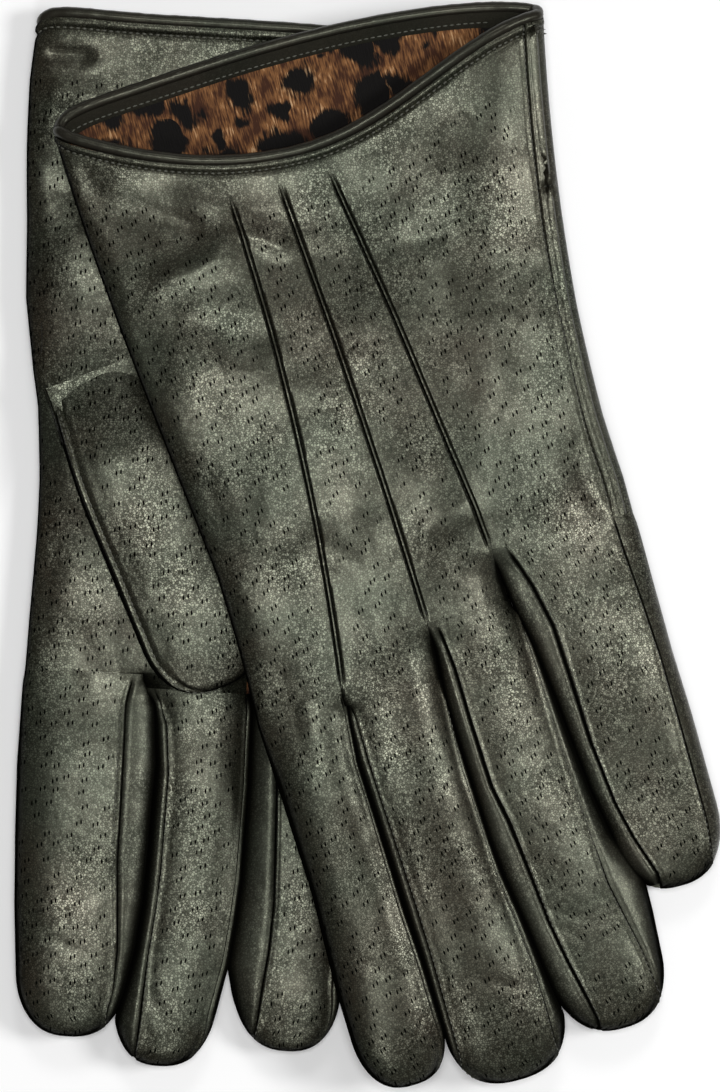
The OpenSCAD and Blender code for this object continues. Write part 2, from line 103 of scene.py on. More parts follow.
# %% Measures and gloves
HAND_LEN, KNUCKLE_W, HAND_H = 135.6, 92.8, 10.0
FLARE_THUMB, FLARE_LITTLE = 8.3, 11.0
LEATHER, LINING, LINING_GAP = 0.9, 1.0, 0.4
STACK_H, THUMBS_H = 10.75, 6.8
BASES = [21.0, 22.4, 20.2]
REACHES = [89.0, 94.4, 89.4, 61.8]
POINT_TOP, POINT_X, POINT_BOW = 113.0, [-21.2, -9.7, 1.8], [2.9, 0.9, 0.85]
MIDDLE = (28.4631, 23.2463)
LEFT = SimpleNamespace(
    name="left", top="back", turn=15, place=(47.4, -2.7), spread=1.0, bow=7.2, rim=1.0, webs=(0, -3, 10, 22),
    notches=(1.5, 10.5, 22.4), widths=(21.8, 20.4, 25, 23), gaps=(0.7, 0.7, 1.8), tips=None,
    thick=(12, 12, 12, 12), thumb=(31, 54, 12))
RIGHT = SimpleNamespace(
    name="right", top="palm", turn=-3.5, place=(0, 0), spread=1.05, bow=2.6, rim=1.7, webs=(-7, -10, 3, 15),
    notches=(-5.5, 3.2, 15.2), widths=(24.8, 21.6, 20.2, 20.6), gaps=(1.9, 0.7, 1.8), tips=(1, 1.0, 1.2, 1),
    thick=(12, 12, 10, 10), thumb=(36, 60, 25))
FINGERS = ["index", "middle", "ring", "little"]
EDGES = np.concatenate([[-KNUCKLE_W / 2], -KNUCKLE_W / 2 + np.cumsum(BASES), [KNUCKLE_W / 2]])


def mix(a, b, t):
    return a + (b - a) * t


def smooth(a, b, v):
    t = np.clip((np.asarray(v, float) - a) / (b - a), 0, 1)
    return t * t * (3 - 2 * t)


def bell(v, width):
    return np.exp(-(v / width) ** 2)


def signed_pow(v, e):
    return np.sign(v) * np.abs(v) ** e


print("gloves:", LEFT.name, "over", RIGHT.name)

# %% [markdown]
# ## The outline of a hand
# A glove hand is a flat bag whose sides flare to the cuff. The three points on its back run from the cuff
# to the webs between the fingers, so the same lines part the hand into four strips, one for each finger.


# %% Outline functions
def along(places, v):
    places = sorted(places)
    return np.interp(v, [p[0] for p in places], [p[1] for p in places])


# How the worn hands differ from the plain outline: place along y, shift of the edge in x
WORN = {
    ("left", -1): [(0, 0.8), (20, 1.4), (32, 1.7), (54, 0.9), (80, 0.3), (136, -0.9)],
    ("left", 1): [(0, 1.8), (30, 1.6), (45, 0.6), (70, 0)],
    ("right", -1): [(-7, 0.3), (4, 0.5), (12, 0.9), (24, 1.7), (36, 2.3), (52, 2.3), (60, 1.5), (76, 0.5),
                    (93, 1.2), (109, 1.3), (125, 1.7), (136, 2.6)],
    ("right", 1): [(0, 0)],
}
WEB_SHIFT = {"left": (0, 0, 0), "right": (4.8, 5.6, 5.0)}


def left_edge(g, y):
    return -KNUCKLE_W / 2 - FLARE_THUMB * smooth(0, HAND_LEN, y) + along(WORN[g.name, -1], y)


def right_edge(g, y):
    waist = HAND_LEN / 4
    flare = FLARE_LITTLE * np.maximum(0, (y - waist) / (HAND_LEN - waist)) ** 2
    return KNUCKLE_W / 2 + flare + along(WORN[g.name, 1], y)


def strip_line(g, k, y):
    if k == 0:
        return left_edge(g, y)
    if k == 4:
        return right_edge(g, y)
    s = np.clip(y / POINT_TOP, 0, 1)
    line = mix(EDGES[k], POINT_X[k - 1], s) + POINT_BOW[k - 1] * 4 * s * (1 - s)
    return line + WEB_SHIFT[g.name][k - 1] * (1 - smooth(0, 60, y))


def hand_mid(g, y):
    return (left_edge(g, y) + right_edge(g, y)) / 2


def hand_half(g, y):
    return (right_edge(g, y) - left_edge(g, y)) / 2


def bowl(t, at, power_low, power_high):
    u = np.where(t < at, (t - at) / (1 + at), (t - at) / (1 - at))
    return np.maximum(0, 1 - u * u) ** np.where(t < at, power_low, power_high)


def back_rim(g, t):
    turn = 0.9 * (1 - np.exp(-(t + 1) / 0.02))
    return HAND_LEN + g.rim - 0.9 * (t + 1) - 16.6 * bowl(t, -0.07, 1, 2) - turn


def palm_rim(g, t):
    turn = 1.7 * bell(t + 1, 0.3) * (1 - np.exp(-(t + 1) / 0.02))
    return HAND_LEN + g.rim - 0.9 * (t + 1) + g.bow * bowl(t, 0.1, 0.7, 0.7) + turn


print("hand:", round(2 * float(hand_half(LEFT, np.array(0.0))), 1), "mm wide at the web")

# %% [markdown]
# ## Where the fingers lie
# A finger leaves its strip of the hand and leans towards its own place among the others. Where the
# photograph shows a finger's side, a few places along it are given, and the plain width holds for the rest.

# %% Sides of the fingers
SPREAD_RUN = 40


def finger_len(g, f):
    return g.webs[f] + REACHES[f] + 0.4


def finger_mid(g, f, l):
    base = (EDGES[f] + EDGES[f + 1]) / 2
    aim = -KNUCKLE_W / 2 + g.widths[0] / 2 + 1.2
    for k in range(f):
        aim += (g.widths[k] + g.widths[k + 1]) / 2 + g.gaps[k]
    whole = g.webs[f] + SPREAD_RUN
    v, tip = l / whole, (g.webs[f] + REACHES[f]) / whole
    bend = 0 if g.tips is None else (g.tips[f] - tip) / (tip * tip - tip)
    return mix(base, aim, v * (bend * v + 1 - bend))


def finger_half(g, f, s):
    return mix((EDGES[f + 1] - EDGES[f] - 0.2) / 2, g.widths[f] / 2, smooth(0, 0.36, s))


# Where the fingers' sides lie, as (y, x). Neighbours share one line for as long as they touch.
INDEX_MIDDLE = [(0, -25.2), (-16, -26.3), (-29, -25.7), (-51, -24.8), (-63, -23.9), (-95, -22.7)]
MIDDLE_RING = [(5, -3.0), (-8, -3.6), (-19, -3.4), (-41, -2.4), (-50, -1.4), (-61, 0.4), (-72, 1.9),
               (-83, 3.6)]
RING_LITTLE = [(22, 14.8), (16, 15.5), (10, 16.3), (-1, 18.5), (-14, 20.1), (-26, 21.4), (-36, 22.5),
               (-46, 24.3)]
LOW_INDEX_MIDDLE = [(-7, -20.6), (-14, -17.8), (-27, -16.7), (-48, -17.3), (-58, -17.7), (-69, -18.8)]
LOW_MIDDLE_RING = [(-4, 2.7), (-31, 3.2), (-52, 2.9), (-62, 2.1), (-71, 1.2)]
SIDES = {
    ("left", 0, -1): [(0, -45.6), (-18, -44.6), (-42, -43.6), (-64, -44.0), (-89, -43.2)],
    ("left", 0, 1): INDEX_MIDDLE,
    ("left", 1, -1): INDEX_MIDDLE,
    ("left", 1, 1): MIDDLE_RING + [(-95, 3.4)],
    ("left", 2, -1): MIDDLE_RING + [(-90, 4.6)],
    ("left", 2, 1): RING_LITTLE + [(-53, 27.2), (-58, 29.0), (-66, 28.9), (-75, 28.4), (-90, 27.4)],
    ("left", 3, -1): RING_LITTLE + [(-62, 25.6)],
    ("left", 3, 1): [(29, 48.1), (9, 48.2), (-11, 48.3), (-25, 48.9), (-48, 49.1), (-62, 47.6)],
    ("right", 0, -1): [(4, -45.8), (-13, -46.2), (-29, -46.3), (-45, -45.8), (-61, -45.0), (-89, -42.8)],
    ("right", 0, 1): LOW_INDEX_MIDDLE + [(-78, -20.4), (-89, -21.4)],
    ("right", 1, -1): LOW_INDEX_MIDDLE + [(-78, -20.6), (-85, -22.3), (-97, -22.0)],
    ("right", 1, 1): LOW_MIDDLE_RING + [(-83, -1.1), (-97, -2.6)],
    ("right", 2, -1): LOW_MIDDLE_RING + [(-81, 3.4), (-90, 4.6)],
}
# Neighbours' leather runs this far past the shared line, so that no gap shows between them
OVERLAP = 0.28


def finger_sides(g, f, s):
    l = s * finger_len(g, f)
    ends = []
    for side in (-1, 1):
        root = strip_line(g, f if side < 0 else f + 1, np.array(float(g.webs[f])))
        if (g.name, f, side) in SIDES:
            edge = along(SIDES[g.name, f, side], g.webs[f] - l) + side * OVERLAP
            settle = 0.045
        else:
            edge = finger_mid(g, f, l) + side * finger_half(g, f, s)
            settle = 0.1
        ends.append(mix(root, edge, smooth(0, settle, s)))
    return (ends[0] + ends[1]) / 2, (ends[1] - ends[0]) / 2


print("fingers:", [round(finger_len(LEFT, f), 1) for f in range(4)], "mm long")

# %% [markdown]
# ## How the pair lies
# The lower glove lies flat. The upper one rests on it and sags to the table past the lower hand's side, and
# it rises over the two thumbs that are folded between the palms. One function turns, moves and drapes a
# glove.


# %% Placing and draping
def lower_ring_side():
    return (finger_mid(RIGHT, 2, RIGHT.webs[2] + SPREAD_RUN) + RIGHT.widths[2] / 2 + 7) * RIGHT.spread


def drape(x, y):
    a = math.radians(-RIGHT.turn)
    rx, ry = x * math.cos(a) - y * math.sin(a), x * math.sin(a) + y * math.cos(a)
    side = (KNUCKLE_W / 2 + 3) * RIGHT.spread
    start = mix(lower_ring_side(), side, smooth(-50, 2, ry + REACHES[3]))
    past_thumb = 1 - smooth(-12, 48, ry - RIGHT.thumb[1])
    bump = (1 - smooth(-40, 40, rx - side)) * past_thumb * smooth(-76, -14, ry)
    return STACK_H * (1 - smooth(-14, 50, rx - start)) + THUMBS_H * bump


def place(g, x, y, z, draped=True):
    a = math.radians(g.turn)
    px = x * g.spread * math.cos(a) - y * math.sin(a) + g.place[0]
    py = x * g.spread * math.sin(a) + y * math.cos(a) + g.place[1]
    if g is LEFT and draped:
        z = z + drape(px, py)
    return np.stack([px - MIDDLE[0], py - MIDDLE[1], z + 0 * px], -1)


def swell(t):
    return np.minimum(1, 1.012 * np.maximum(0, 1 - np.abs(t) ** 3.5) ** (1 / 3.5))


def fall(rel):
    return 1 - np.maximum(0, 1 - np.abs(rel) ** 2.5) ** 0.4


NOTCH_RUN = 8.0


def hand_share(g, x, y):
    share = swell(np.clip((x - hand_mid(g, y)) / hand_half(g, y), -1, 1))
    for k in range(3):
        drop = smooth(0, NOTCH_RUN, g.notches[k] - y)
        for strip in (k, k + 1):
            low, high = strip_line(g, strip, y), strip_line(g, strip + 1, y)
            rel = np.clip((2 * x - low - high) / (high - low), -1, 1)
            near = (x >= low - 1e-6) & (x <= high + 1e-6) & ((rel > 0) == (strip == k))
            share = share - np.where(near, drop * fall(rel), 0)
    return np.maximum(share, 0)


def finger_share(g, f, rel, y, half):
    sides = []
    for end in (f - 1, f):
        if 0 <= end <= 2:
            sides.append(smooth(0, NOTCH_RUN, g.notches[end] - y) * fall(rel))
        else:
            edge = (1 - np.abs(rel)) * half
            sides.append(mix(1 - swell(1 - edge / (KNUCKLE_W / 2)), fall(rel), smooth(0, 18, g.webs[f] - y)))
    return 1 - np.where(rel < 0, sides[0], sides[1])


print("upper glove lies", float(drape(0, 0)), "mm up at its web")

# %% [markdown]
# ## Colours and the leather
# Colours are written as sRGB codes and turned into linear values by one function. One function adds a node,
# and a few short ones built on it do the sums, so that each material below reads as a list of what is seen.


# %% Material helpers
def linear(code):
    parts = [int(code[i:i + 2], 16) / 255 for i in (1, 3, 5)]
    return tuple(c / 12.92 if c <= 0.04045 else ((c + 0.055) / 1.055) ** 2.4 for c in parts) + (1.0,)


def wire(tree, node, values):
    for socket, value in dict(values).items():
        if isinstance(value, bpy.types.NodeSocket):
            tree.links.new(value, node.inputs[socket])
        else:
            node.inputs[socket].default_value = value


def add(tree, kind, values=(), **settings):
    node = tree.nodes.new(kind)
    for name, value in settings.items():
        setattr(node, name, value)
    wire(tree, node, values)
    return node


def maths(tree, operation, *values):
    return add(tree, "ShaderNodeMath", enumerate(values), operation=operation).outputs[0]


def vectors(tree, operation, *values):
    return add(tree, "ShaderNodeVectorMath", enumerate(values), operation=operation).outputs[0]


def distance(tree, at):
    return add(tree, "ShaderNodeVectorMath", {0: at}, operation="LENGTH").outputs["Value"]


def remap(tree, value, low=0.0, high=1.0, start=0.0, end=1.0, kind="LINEAR"):
    values = enumerate((value, low, high, start, end))
    return add(tree, "ShaderNodeMapRange", values, interpolation_type=kind).outputs[0]


def blend_values(tree, share, a, b):
    return add(tree, "ShaderNodeMix", {0: share, 2: a, 3: b}).outputs[0]


def tones(tree, share, a, b):
    a, b = (linear(v) if isinstance(v, str) else v for v in (a, b))
    return add(tree, "ShaderNodeMix", {0: share, 6: a, 7: b}, data_type="RGBA").outputs[2]


def noise(tree, at, scale, detail, roughness=0.5):
    values = {"Vector": at, "Scale": scale, "Detail": detail, "Roughness": roughness}
    return add(tree, "ShaderNodeTexNoise", values).outputs


def parts_of(tree, vector):
    return add(tree, "ShaderNodeSeparateXYZ", {0: vector}).outputs


def start_material(name):
    material = bpy.data.materials.new(name)
    material.use_nodes = True
    tree = material.node_tree
    tree.nodes.clear()
    shader = add(tree, "ShaderNodeBsdfPrincipled")
    add(tree, "ShaderNodeOutputMaterial", {"Surface": shader.outputs[0]})
    return material, tree, shader


print("mid grey in linear values:", round(linear("#808080")[0], 3))

# %% [markdown]
# ## Pin-holes
# Rows of small holes are punched through the leather in pairs, to let the hand breathe. A hole is about 0.4
# x 1.2 mm and a pair has a cell of 4.3 x 3.0 mm to itself. The rows are staggered and some pairs are left
# out. The holes follow each piece's own flat pattern, which its UV map holds at 100 mm to a unit.

# %% Punched pin-holes
HOLE_CELLS = (23.3, 33.3, 0)
LEFT_OUT = 0.2


def pin_holes(tree):
    flat = add(tree, "ShaderNodeUVMap", uv_map="flat").outputs[0]
    cells = parts_of(tree, vectors(tree, "MULTIPLY", flat, HOLE_CELLS))
    row = maths(tree, "FLOOR", cells[1])
    across = maths(tree, "MULTIPLY_ADD", maths(tree, "FLOORED_MODULO", row, 2.0), 0.5, cells[0])
    column = maths(tree, "FLOOR", across)
    cell = add(tree, "ShaderNodeCombineXYZ", {0: column, 1: row}).outputs[0]
    chance = add(tree, "ShaderNodeTexWhiteNoise", {"Vector": cell}, noise_dimensions="2D")
    lot = parts_of(tree, chance.outputs["Color"])
    # Each pair is moved a little inside its cell, and its two holes are set a little apart along the row
    moves = [maths(tree, "MULTIPLY_ADD", draw, 0.5, -0.75) for draw in lot[:2]]
    u = maths(tree, "ADD", maths(tree, "SUBTRACT", across, column), moves[0])
    v = maths(tree, "ADD", maths(tree, "SUBTRACT", cells[1], row), moves[1])
    hx = maths(tree, "MULTIPLY_ADD", maths(tree, "ABSOLUTE", u), 19.5, -2.2)
    hy = maths(tree, "MULTIPLY", maths(tree, "MULTIPLY_ADD", maths(tree, "SIGN", u), -0.07, v), 5.0)
    spot = add(tree, "ShaderNodeCombineXYZ", {0: hx, 1: hy}).outputs[0]
    hole = remap(tree, distance(tree, spot), 0.7, 1.1, 1.0, 0.0, "SMOOTHSTEP")
    there = add(tree, "ShaderNodeAttribute", attribute_name="punched").outputs["Fac"]
    kept = maths(tree, "GREATER_THAN", lot[2], LEFT_OUT)
    return maths(tree, "MULTIPLY", hole, maths(tree, "MULTIPLY", kept, there))


print("pin-hole cells:", [round(100 / n, 1) for n in HOLE_CELLS[:2]], "mm")

# %% [markdown]
# ## The leather
# Glove nappa is fine sheepskin, dyed through and given a satin finish. Its eye-catching traits are a
# pebbled grain about half a millimetre across that sparkles where light falls on it, and slow changes from
# olive grey to warm brown. The grain reads Object coordinates. The bindings and facings are cut from
# smoother, duller leather.

# %% Glove leather
PEBBLES = 1850.0
EDGE_SHADE_TONE, HOLE_TONE = "#080806", "#040403"
OLIVE_GLEAM, WARM_GLEAM = (0.93, 1.0, 0.76, 1), (0.99, 0.98, 0.76, 1)


def glove_leather(name, base, warm, shade, rough, holes, grain=1.0, shine=0.66):
    material, tree, shader = start_material(name)
    place_at = add(tree, "ShaderNodeTexCoord").outputs["Object"]
    # Pebbles of the grain and the fine follicle grain between them
    moved = vectors(tree, "MULTIPLY", noise(tree, place_at, 700.0, 2.0)["Color"], (0.0002,) * 3)
    bent = {"Vector": vectors(tree, "ADD", place_at, moved), "Scale": PEBBLES}
    pebble = add(tree, "ShaderNodeTexVoronoi", bent, feature="DISTANCE_TO_EDGE")
    crown = remap(tree, pebble.outputs["Distance"], 0.0, 0.2, kind="SMOOTHSTEP")
    lot = parts_of(tree, add(tree, "ShaderNodeTexVoronoi", bent).outputs["Color"])
    dome = maths(tree, "MULTIPLY", crown, remap(tree, lot[0], start=0.4, end=1.4))
    fine = noise(tree, place_at, 3600.0, 2.0)[0]
    # Slow changes of the dye, about 28 mm across
    cloud = noise(tree, place_at, 36.0, 3.0, 0.6)[0]
    dye = remap(tree, cloud, 0.38, 0.68)
    # Gaps between the pebbles take the shade colour: painted shade in the grain's hollows
    valley = remap(tree, crown, start=1 - 0.85 * min(1, grain))
    tone = tones(tree, valley, shade, tones(tree, dye, base, warm))
    # Painted shade: where the leather turns away into a seam or an edge it is painted near black and loses
    # its gleam
    edge_shade = add(tree, "ShaderNodeAttribute", attribute_name="rolled").outputs["Fac"]
    tone = tones(tree, edge_shade, tone, EDGE_SHADE_TONE)
    gleam = remap(tree, edge_shade, start=shine, end=0.0)
    # The grain stands out in patches some 20 mm across and is pressed smooth between them
    patch = noise(tree, place_at, 52.0, 2.0)[0]
    raised = remap(tree, patch, 0.38, 0.64, 0.35 * grain, 0.78 * grain)
    pebbled = maths(tree, "MULTIPLY", dome, maths(tree, "MULTIPLY", raised, 0.1))
    # Each raised pebble faces its own way, so that some glint and others stay dull
    glint = maths(tree, "MULTIPLY", remap(tree, lot[1], start=0.15, end=3.1), crown)
    gleam = maths(tree, "MULTIPLY", gleam, blend_values(tree, raised, 1.0, glint))
    grained = maths(tree, "MULTIPLY_ADD", fine, 0.04 * grain, pebbled)
    # Soft wrinkles, 4 to 6 mm apart
    height = maths(tree, "MULTIPLY_ADD", noise(tree, place_at, 190.0, 2.0)[0], 1.1, grained)
    if holes:
        punched = pin_holes(tree)
        tone = tones(tree, punched, tone, HOLE_TONE)
        gleam = blend_values(tree, punched, gleam, 0.0)
    bump = add(tree, "ShaderNodeBump", {"Height": height, "Strength": 1.0, "Distance": 0.0002})
    # The satin finish carries some of the dye, so its gleam goes from olive to warm
    wire(tree, shader, {
        "Base Color": tone, "Roughness": remap(tree, cloud, 0.3, 0.7, rough + 0.05, rough - 0.05),
        "Specular IOR Level": gleam, "Normal": bump.outputs[0], "IOR": 1.5,
        "Specular Tint": tones(tree, dye, OLIVE_GLEAM, WARM_GLEAM)})
    return material


nappa = glove_leather("punched_satin_nappa", "#20221a", "#28231b", "#0a0b08", 0.355, True)
plain_nappa = glove_leather("plain_satin_nappa", "#1f2119", "#26221b", "#0a0b08", 0.355, False, 0.8)
strip_nappa = glove_leather("fourchette_nappa", "#191a14", "#1d1a14", "#0a0a08", 0.38, False, 0.7)
bead_nappa = glove_leather("smooth_binding_nappa", "#1d1c18", "#231f1a", "#100f0c", 0.32, False, 0.25, 0.3)
# The facing's near-black colour is partly the deep tone of its own leather and partly painted shade from
# inside the cuff
facing_nappa = glove_leather("facing_nappa", "#191813", "#1d1914", "#0a0a08", 0.5, False, 0.4, 0.05)
print("leathers:", nappa.name, plain_nappa.name, strip_nappa.name, bead_nappa.name, facing_nappa.name)

# %% [markdown]
# ## Lining and thread
# The lining is a short-pile knit printed with generic leopard spots: rust brown with paler hairs, fuzzy
# black blotches 5 to 10 mm across, and fine upright streaks from the knit. The thread is matt twisted
# polyester.

# %% Lining and thread materials
lining_knit, tree, shader = start_material("spotted_pile_knit")
flat = add(tree, "ShaderNodeUVMap", uv_map="flat").outputs[0]
# Hairs and knit ribs, 0.4 mm wide and some 3 mm long
hair = noise(tree, vectors(tree, "MULTIPLY", flat, (250, 34, 1)), 1.0, 3.0)[0]
# Blotches about 12 mm apart, pulled out of round and each of its own size, with small ones between
push = vectors(tree, "MULTIPLY", noise(tree, flat, 14.0, 2.0)["Color"], (0.07, 0.10, 0))
warped = vectors(tree, "ADD", flat, push)
inks = []
for scale, small, large in ((8.0, 0.29, 0.49), (13.0, 0.0, 0.31)):
    values = {"Vector": warped, "Scale": scale, "Randomness": 0.75}
    blotch = add(tree, "ShaderNodeTexVoronoi", values, voronoi_dimensions="2D").outputs
    reach = remap(tree, parts_of(tree, blotch["Color"])[0], start=small, end=large)
    edge = maths(tree, "MULTIPLY_ADD", hair, 0.3, blotch["Distance"])
    inks.append(remap(tree, maths(tree, "SUBTRACT", edge, reach), 0.05, 0.16, 1.0, 0.0))
pale = maths(tree, "MULTIPLY", noise(tree, flat, 16.0, 2.0)[0], hair)
# The rust ground is partly the print's own colour and partly painted shade, set deeper for the shade inside
# the cuffs
rust = tones(tree, remap(tree, pale, 0.19, 0.42), "#3a2216", "#96683f")
ground = tones(tree, remap(tree, pale, 0.33, 0.45, end=0.8), rust, "#c2a27c")
nap = add(tree, "ShaderNodeBump", {"Height": hair, "Strength": 0.7, "Distance": 0.0004})
wire(tree, shader, {
    "Base Color": tones(tree, maths(tree, "MAXIMUM", *inks), ground, "#0b0908"), "Normal": nap.outputs[0],
    "Roughness": 0.85, "Specular IOR Level": 0.15, "Sheen Weight": 0.04})

thread, tree, shader = start_material("twisted_polyester_thread")
# Plies of the twist, 0.3 mm
ply = noise(tree, add(tree, "ShaderNodeTexCoord").outputs["Object"], 3300.0, 1.0)[0]
wire(tree, shader, {"Base Color": tones(tree, ply, "#2c2d26", "#5e5f54"), "Roughness": 0.6})
print("cloths:", lining_knit.name, thread.name)

# %% [markdown]
# ## Making one sheet
# A cut of leather starts as Blender's grid primitive with as many cells as its shape needs. Its points are
# moved to the bent shape, cells outside the cut are deleted, and a Solidify modifier gives the thickness
# inwards. Small reliefs such as seam lips are raised along the surface's own normals first, as a sculptor
# would.


# %% Sheet helpers
LEAST_SIDE, LEAST_SHARE = 10.2, 0.31
# Slopes over which the painted edge shade grows from none to full, as 1 less the normal's height
EDGE_SHADE_FROM, EDGE_SHADE_TO = 0.04, 0.38
MADE = {}
SEAMS = {}


def normals_of(points):
    normal = np.cross(np.gradient(points, axis=1), np.gradient(points, axis=0))
    return normal / np.maximum(np.linalg.norm(normal, axis=2, keepdims=True), 1e-9)


def run_across(points):
    step = np.linalg.norm(np.diff(points, axis=1), axis=2)
    return np.concatenate([np.zeros((len(points), 1)), np.cumsum(step, axis=1)], axis=1)


def lip(e):
    return 0.36 * bell(e - 0.8, 0.42) - 0.6 * bell(e, 0.3)


def flipped(*grids):
    return [grid[:, ::-1] for grid in grids]


def measure(points, keep):
    a, b = points[:-1, :-1], points[1:, 1:]
    c, d = points[:-1, 1:], points[1:, :-1]
    cells = np.linalg.norm(np.cross(b - a, d - c), axis=2) / 2
    wide = np.linalg.norm(np.diff(points, axis=1), axis=2).sum(1).max()
    long = np.linalg.norm(np.diff(points, axis=0), axis=2).sum(0).max()
    return wide, long, float((cells * keep).sum())


def undraped(name, points):
    level = points.copy()
    if name.startswith("left") and "thumb" not in name:
        level[..., 2] -= drape(points[..., 0] + MIDDLE[0], points[..., 1] + MIDDLE[1])
    return level


print("a seam's lip stands", round(float(lip(0.8)), 2), "mm high")

# %% [markdown]
# ## Cutting and hanging a sheet
# A sheet carries two values at its points: punched says where pin-holes may be, and the second is a painted
# shade, 1 where the leather turns away from the table's level, so that edges and seams come out near black.
# It is taken from the shape before draping, or from the one given as plain, and a weight passed in weakens
# it. Each sheet then hides the solids it stands for and hangs on its glove's hand, or stays fixed where it
# has a bend.


# %% Cutting and hanging
def grid_piece(name, points):
    rows, cols = points.shape[:2]
    bpy.ops.object.select_all(action="DESELECT")
    bpy.ops.mesh.primitive_grid_add(x_subdivisions=cols - 1, y_subdivisions=rows - 1, size=1)
    piece = bpy.context.object
    piece.name = name
    piece.data.name = name
    piece.data.vertices.foreach_set("co", (points / 1000).astype(np.float32).ravel())
    return piece


def store(mesh, name, values):
    attribute = mesh.attributes.new(name, "FLOAT", "POINT")
    attribute.data.foreach_set("value", values.astype(np.float32).ravel())


def trim(mesh, keep, closed):
    work = bmesh.new()
    work.from_mesh(mesh)
    work.faces.ensure_lookup_table()
    bmesh.ops.delete(work, geom=[work.faces[i] for i in np.flatnonzero(~keep.ravel())], context="FACES")
    if closed:
        bmesh.ops.remove_doubles(work, verts=work.verts, dist=1e-6)
    work.to_mesh(mesh)
    work.free()


def cut_sheet(name, points, flat, material, thickness, punched=0.0, keep=None, closed=False, plain=None,
              shade_weight=1.0):
    rows, cols = points.shape[:2]
    keep = np.ones((rows - 1, cols - 1), bool) if keep is None else keep
    piece = grid_piece(name, points)
    mesh = piece.data
    corner = np.empty(len(mesh.loops), np.int32)
    mesh.loops.foreach_get("vertex_index", corner)
    mesh.uv_layers[0].name = "flat"
    pattern = flat.reshape(-1, 2)[corner] / 100
    mesh.uv_layers["flat"].data.foreach_set("uv", pattern.astype(np.float32).ravel())
    store(mesh, "punched", np.zeros((rows, cols)) + punched)
    # Painted shade at edges and seams, from how far the smooth shape turns away from level
    level = undraped(name, points if plain is None else plain)
    store(mesh, "rolled", shade_weight * smooth(EDGE_SHADE_FROM, EDGE_SHADE_TO, 1 - np.abs(normals_of(level)[..., 2])))
    if not keep.all() or closed:
        trim(mesh, keep, closed)
    wall = piece.modifiers.new("thickness", "SOLIDIFY")
    wall.thickness = thickness / 1000
    wall.offset = -1
    bpy.ops.object.modifier_apply(modifier=wall.name)
    bpy.ops.object.shade_smooth_by_angle(angle=math.radians(55))
    mesh.materials.clear()
    mesh.materials.append(material)
    MADE[name] = measure(points, keep)
    return piece


def attach(piece, body, bend):
    if bend is None:
        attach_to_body(piece, body)
    else:
        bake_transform(piece)


# A sheet stands for the nodes of these names, which are hidden. It hangs on its glove's hand unless given a
# bend.
def hang(g, piece, nodes, bend=None):
    wide, long, area = MADE[piece.name]
    wide = max(wide, LEAST_SIDE)
    if nodes:
        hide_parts(*[g.name + "_" + n for n in nodes])
    attach(piece, g.name + "_hand", bend)


print("sheets are entered at", LEAST_SIDE, "mm or more")

# %% [markdown]
# ## Folds of worn leather
# Soft leather never lies quite flat. A few broad swells and folds sit where light catches them on the real
# pair, and slow waves run over the rest. All of them are written in the frame's millimetres, so that they
# carry on across the seams between the pieces.

# %% Folds
# Swells: x, y, radius, height. Folds: from x, y to x, y, width, height. Waves: height, two rates, phase.
FOLD_STRENGTH, DEEPEST = 1.6, 1.1
SWELLS = [(21, 78, 13, 0.9), (30, 55, 12, 0.8), (-2, 48, 16, 0.5), (-35, 72, 9, 0.5), (33, 18, 13, 0.6),
          (-20, 6, 14, 0.5), (-66, 62, 11, 0.6), (-60, 22, 12, 0.5), (-62, -50, 12, 0.4), (-3, -55, 12, 0.4)]
FOLDS = [(-48, 58, -28, 66, 3.2, 0.8), (-56, 76, -34, 69, 3.0, -0.7), (-30, 71, -17, 66, 2.4, 0.5),
         (-40, 50, -22, 44, 4.0, -0.6), (24, 65, 27, 50, 6.0, -0.3), (5, 66, 18, 70, 3.0, -0.5),
         (-73, 111, -62, 110, 1.3, -1.3), (-73, 103, -58, 100, 3.0, 0.6), (-70, 84, -52, 70, 4.0, -0.6),
         (-14, 3, -2, -6, 3.4, -0.6), (10, 2, 24, 10, 4.0, 0.5), (48, 16, 58, 2, 3.0, -0.4),
         (36, -80, 50, -84, 1.1, -0.35), (37, -84, 49, -88, 0.9, -0.3), (22, -96, 34, -99, 1.0, -0.35),
         (-4, -92, 8, -96, 1.0, -0.3), (58, -52, 70, -56, 1.0, -0.3), (-54, -100, -48, -112, 1.0, -0.3),
         (-50, -98, -44, -110, 1.0, -0.3), (-72, -88, -62, -92, 1.0, -0.3)]
WAVES = [(0.24, 0.11, 0.05, 0.4), (0.2, -0.07, 0.13, 1.9), (0.1, 0.24, 0.10, 3.1), (0.08, -0.15, 0.27, 0.7),
         (0.035, 0.46, -0.31, 2.2), (0.03, 0.38, 0.52, 5.0)]


def relief(points):
    x, y = points[..., 0], points[..., 1]
    out = np.zeros_like(x)
    for cx, cy, r, h in SWELLS:
        out += h * np.exp(-((x - cx) ** 2 + (y - cy) ** 2) / r ** 2)
    for x0, y0, x1, y1, w, h in FOLDS:
        dx, dy = x1 - x0, y1 - y0
        t = ((x - x0) * dx + (y - y0) * dy) / (dx * dx + dy * dy)
        far = ((x - x0) * dy - (y - y0) * dx) / math.hypot(dx, dy)
        out += h * bell(far, w) * np.exp(-np.maximum(0, np.abs(t - 0.5) - 0.25) ** 2 / 0.06)
    for h, kx, ky, phase in WAVES:
        out += h * np.sin(kx * x + ky * y + phase) * np.cos(0.7 * ky * x - 0.6 * kx * y + 2 * phase)
    out = FOLD_STRENGTH * out
    return np.where(out < 0, DEEPEST * np.tanh(out / DEEPEST), out)


print("folds:", len(SWELLS) + len(FOLDS))
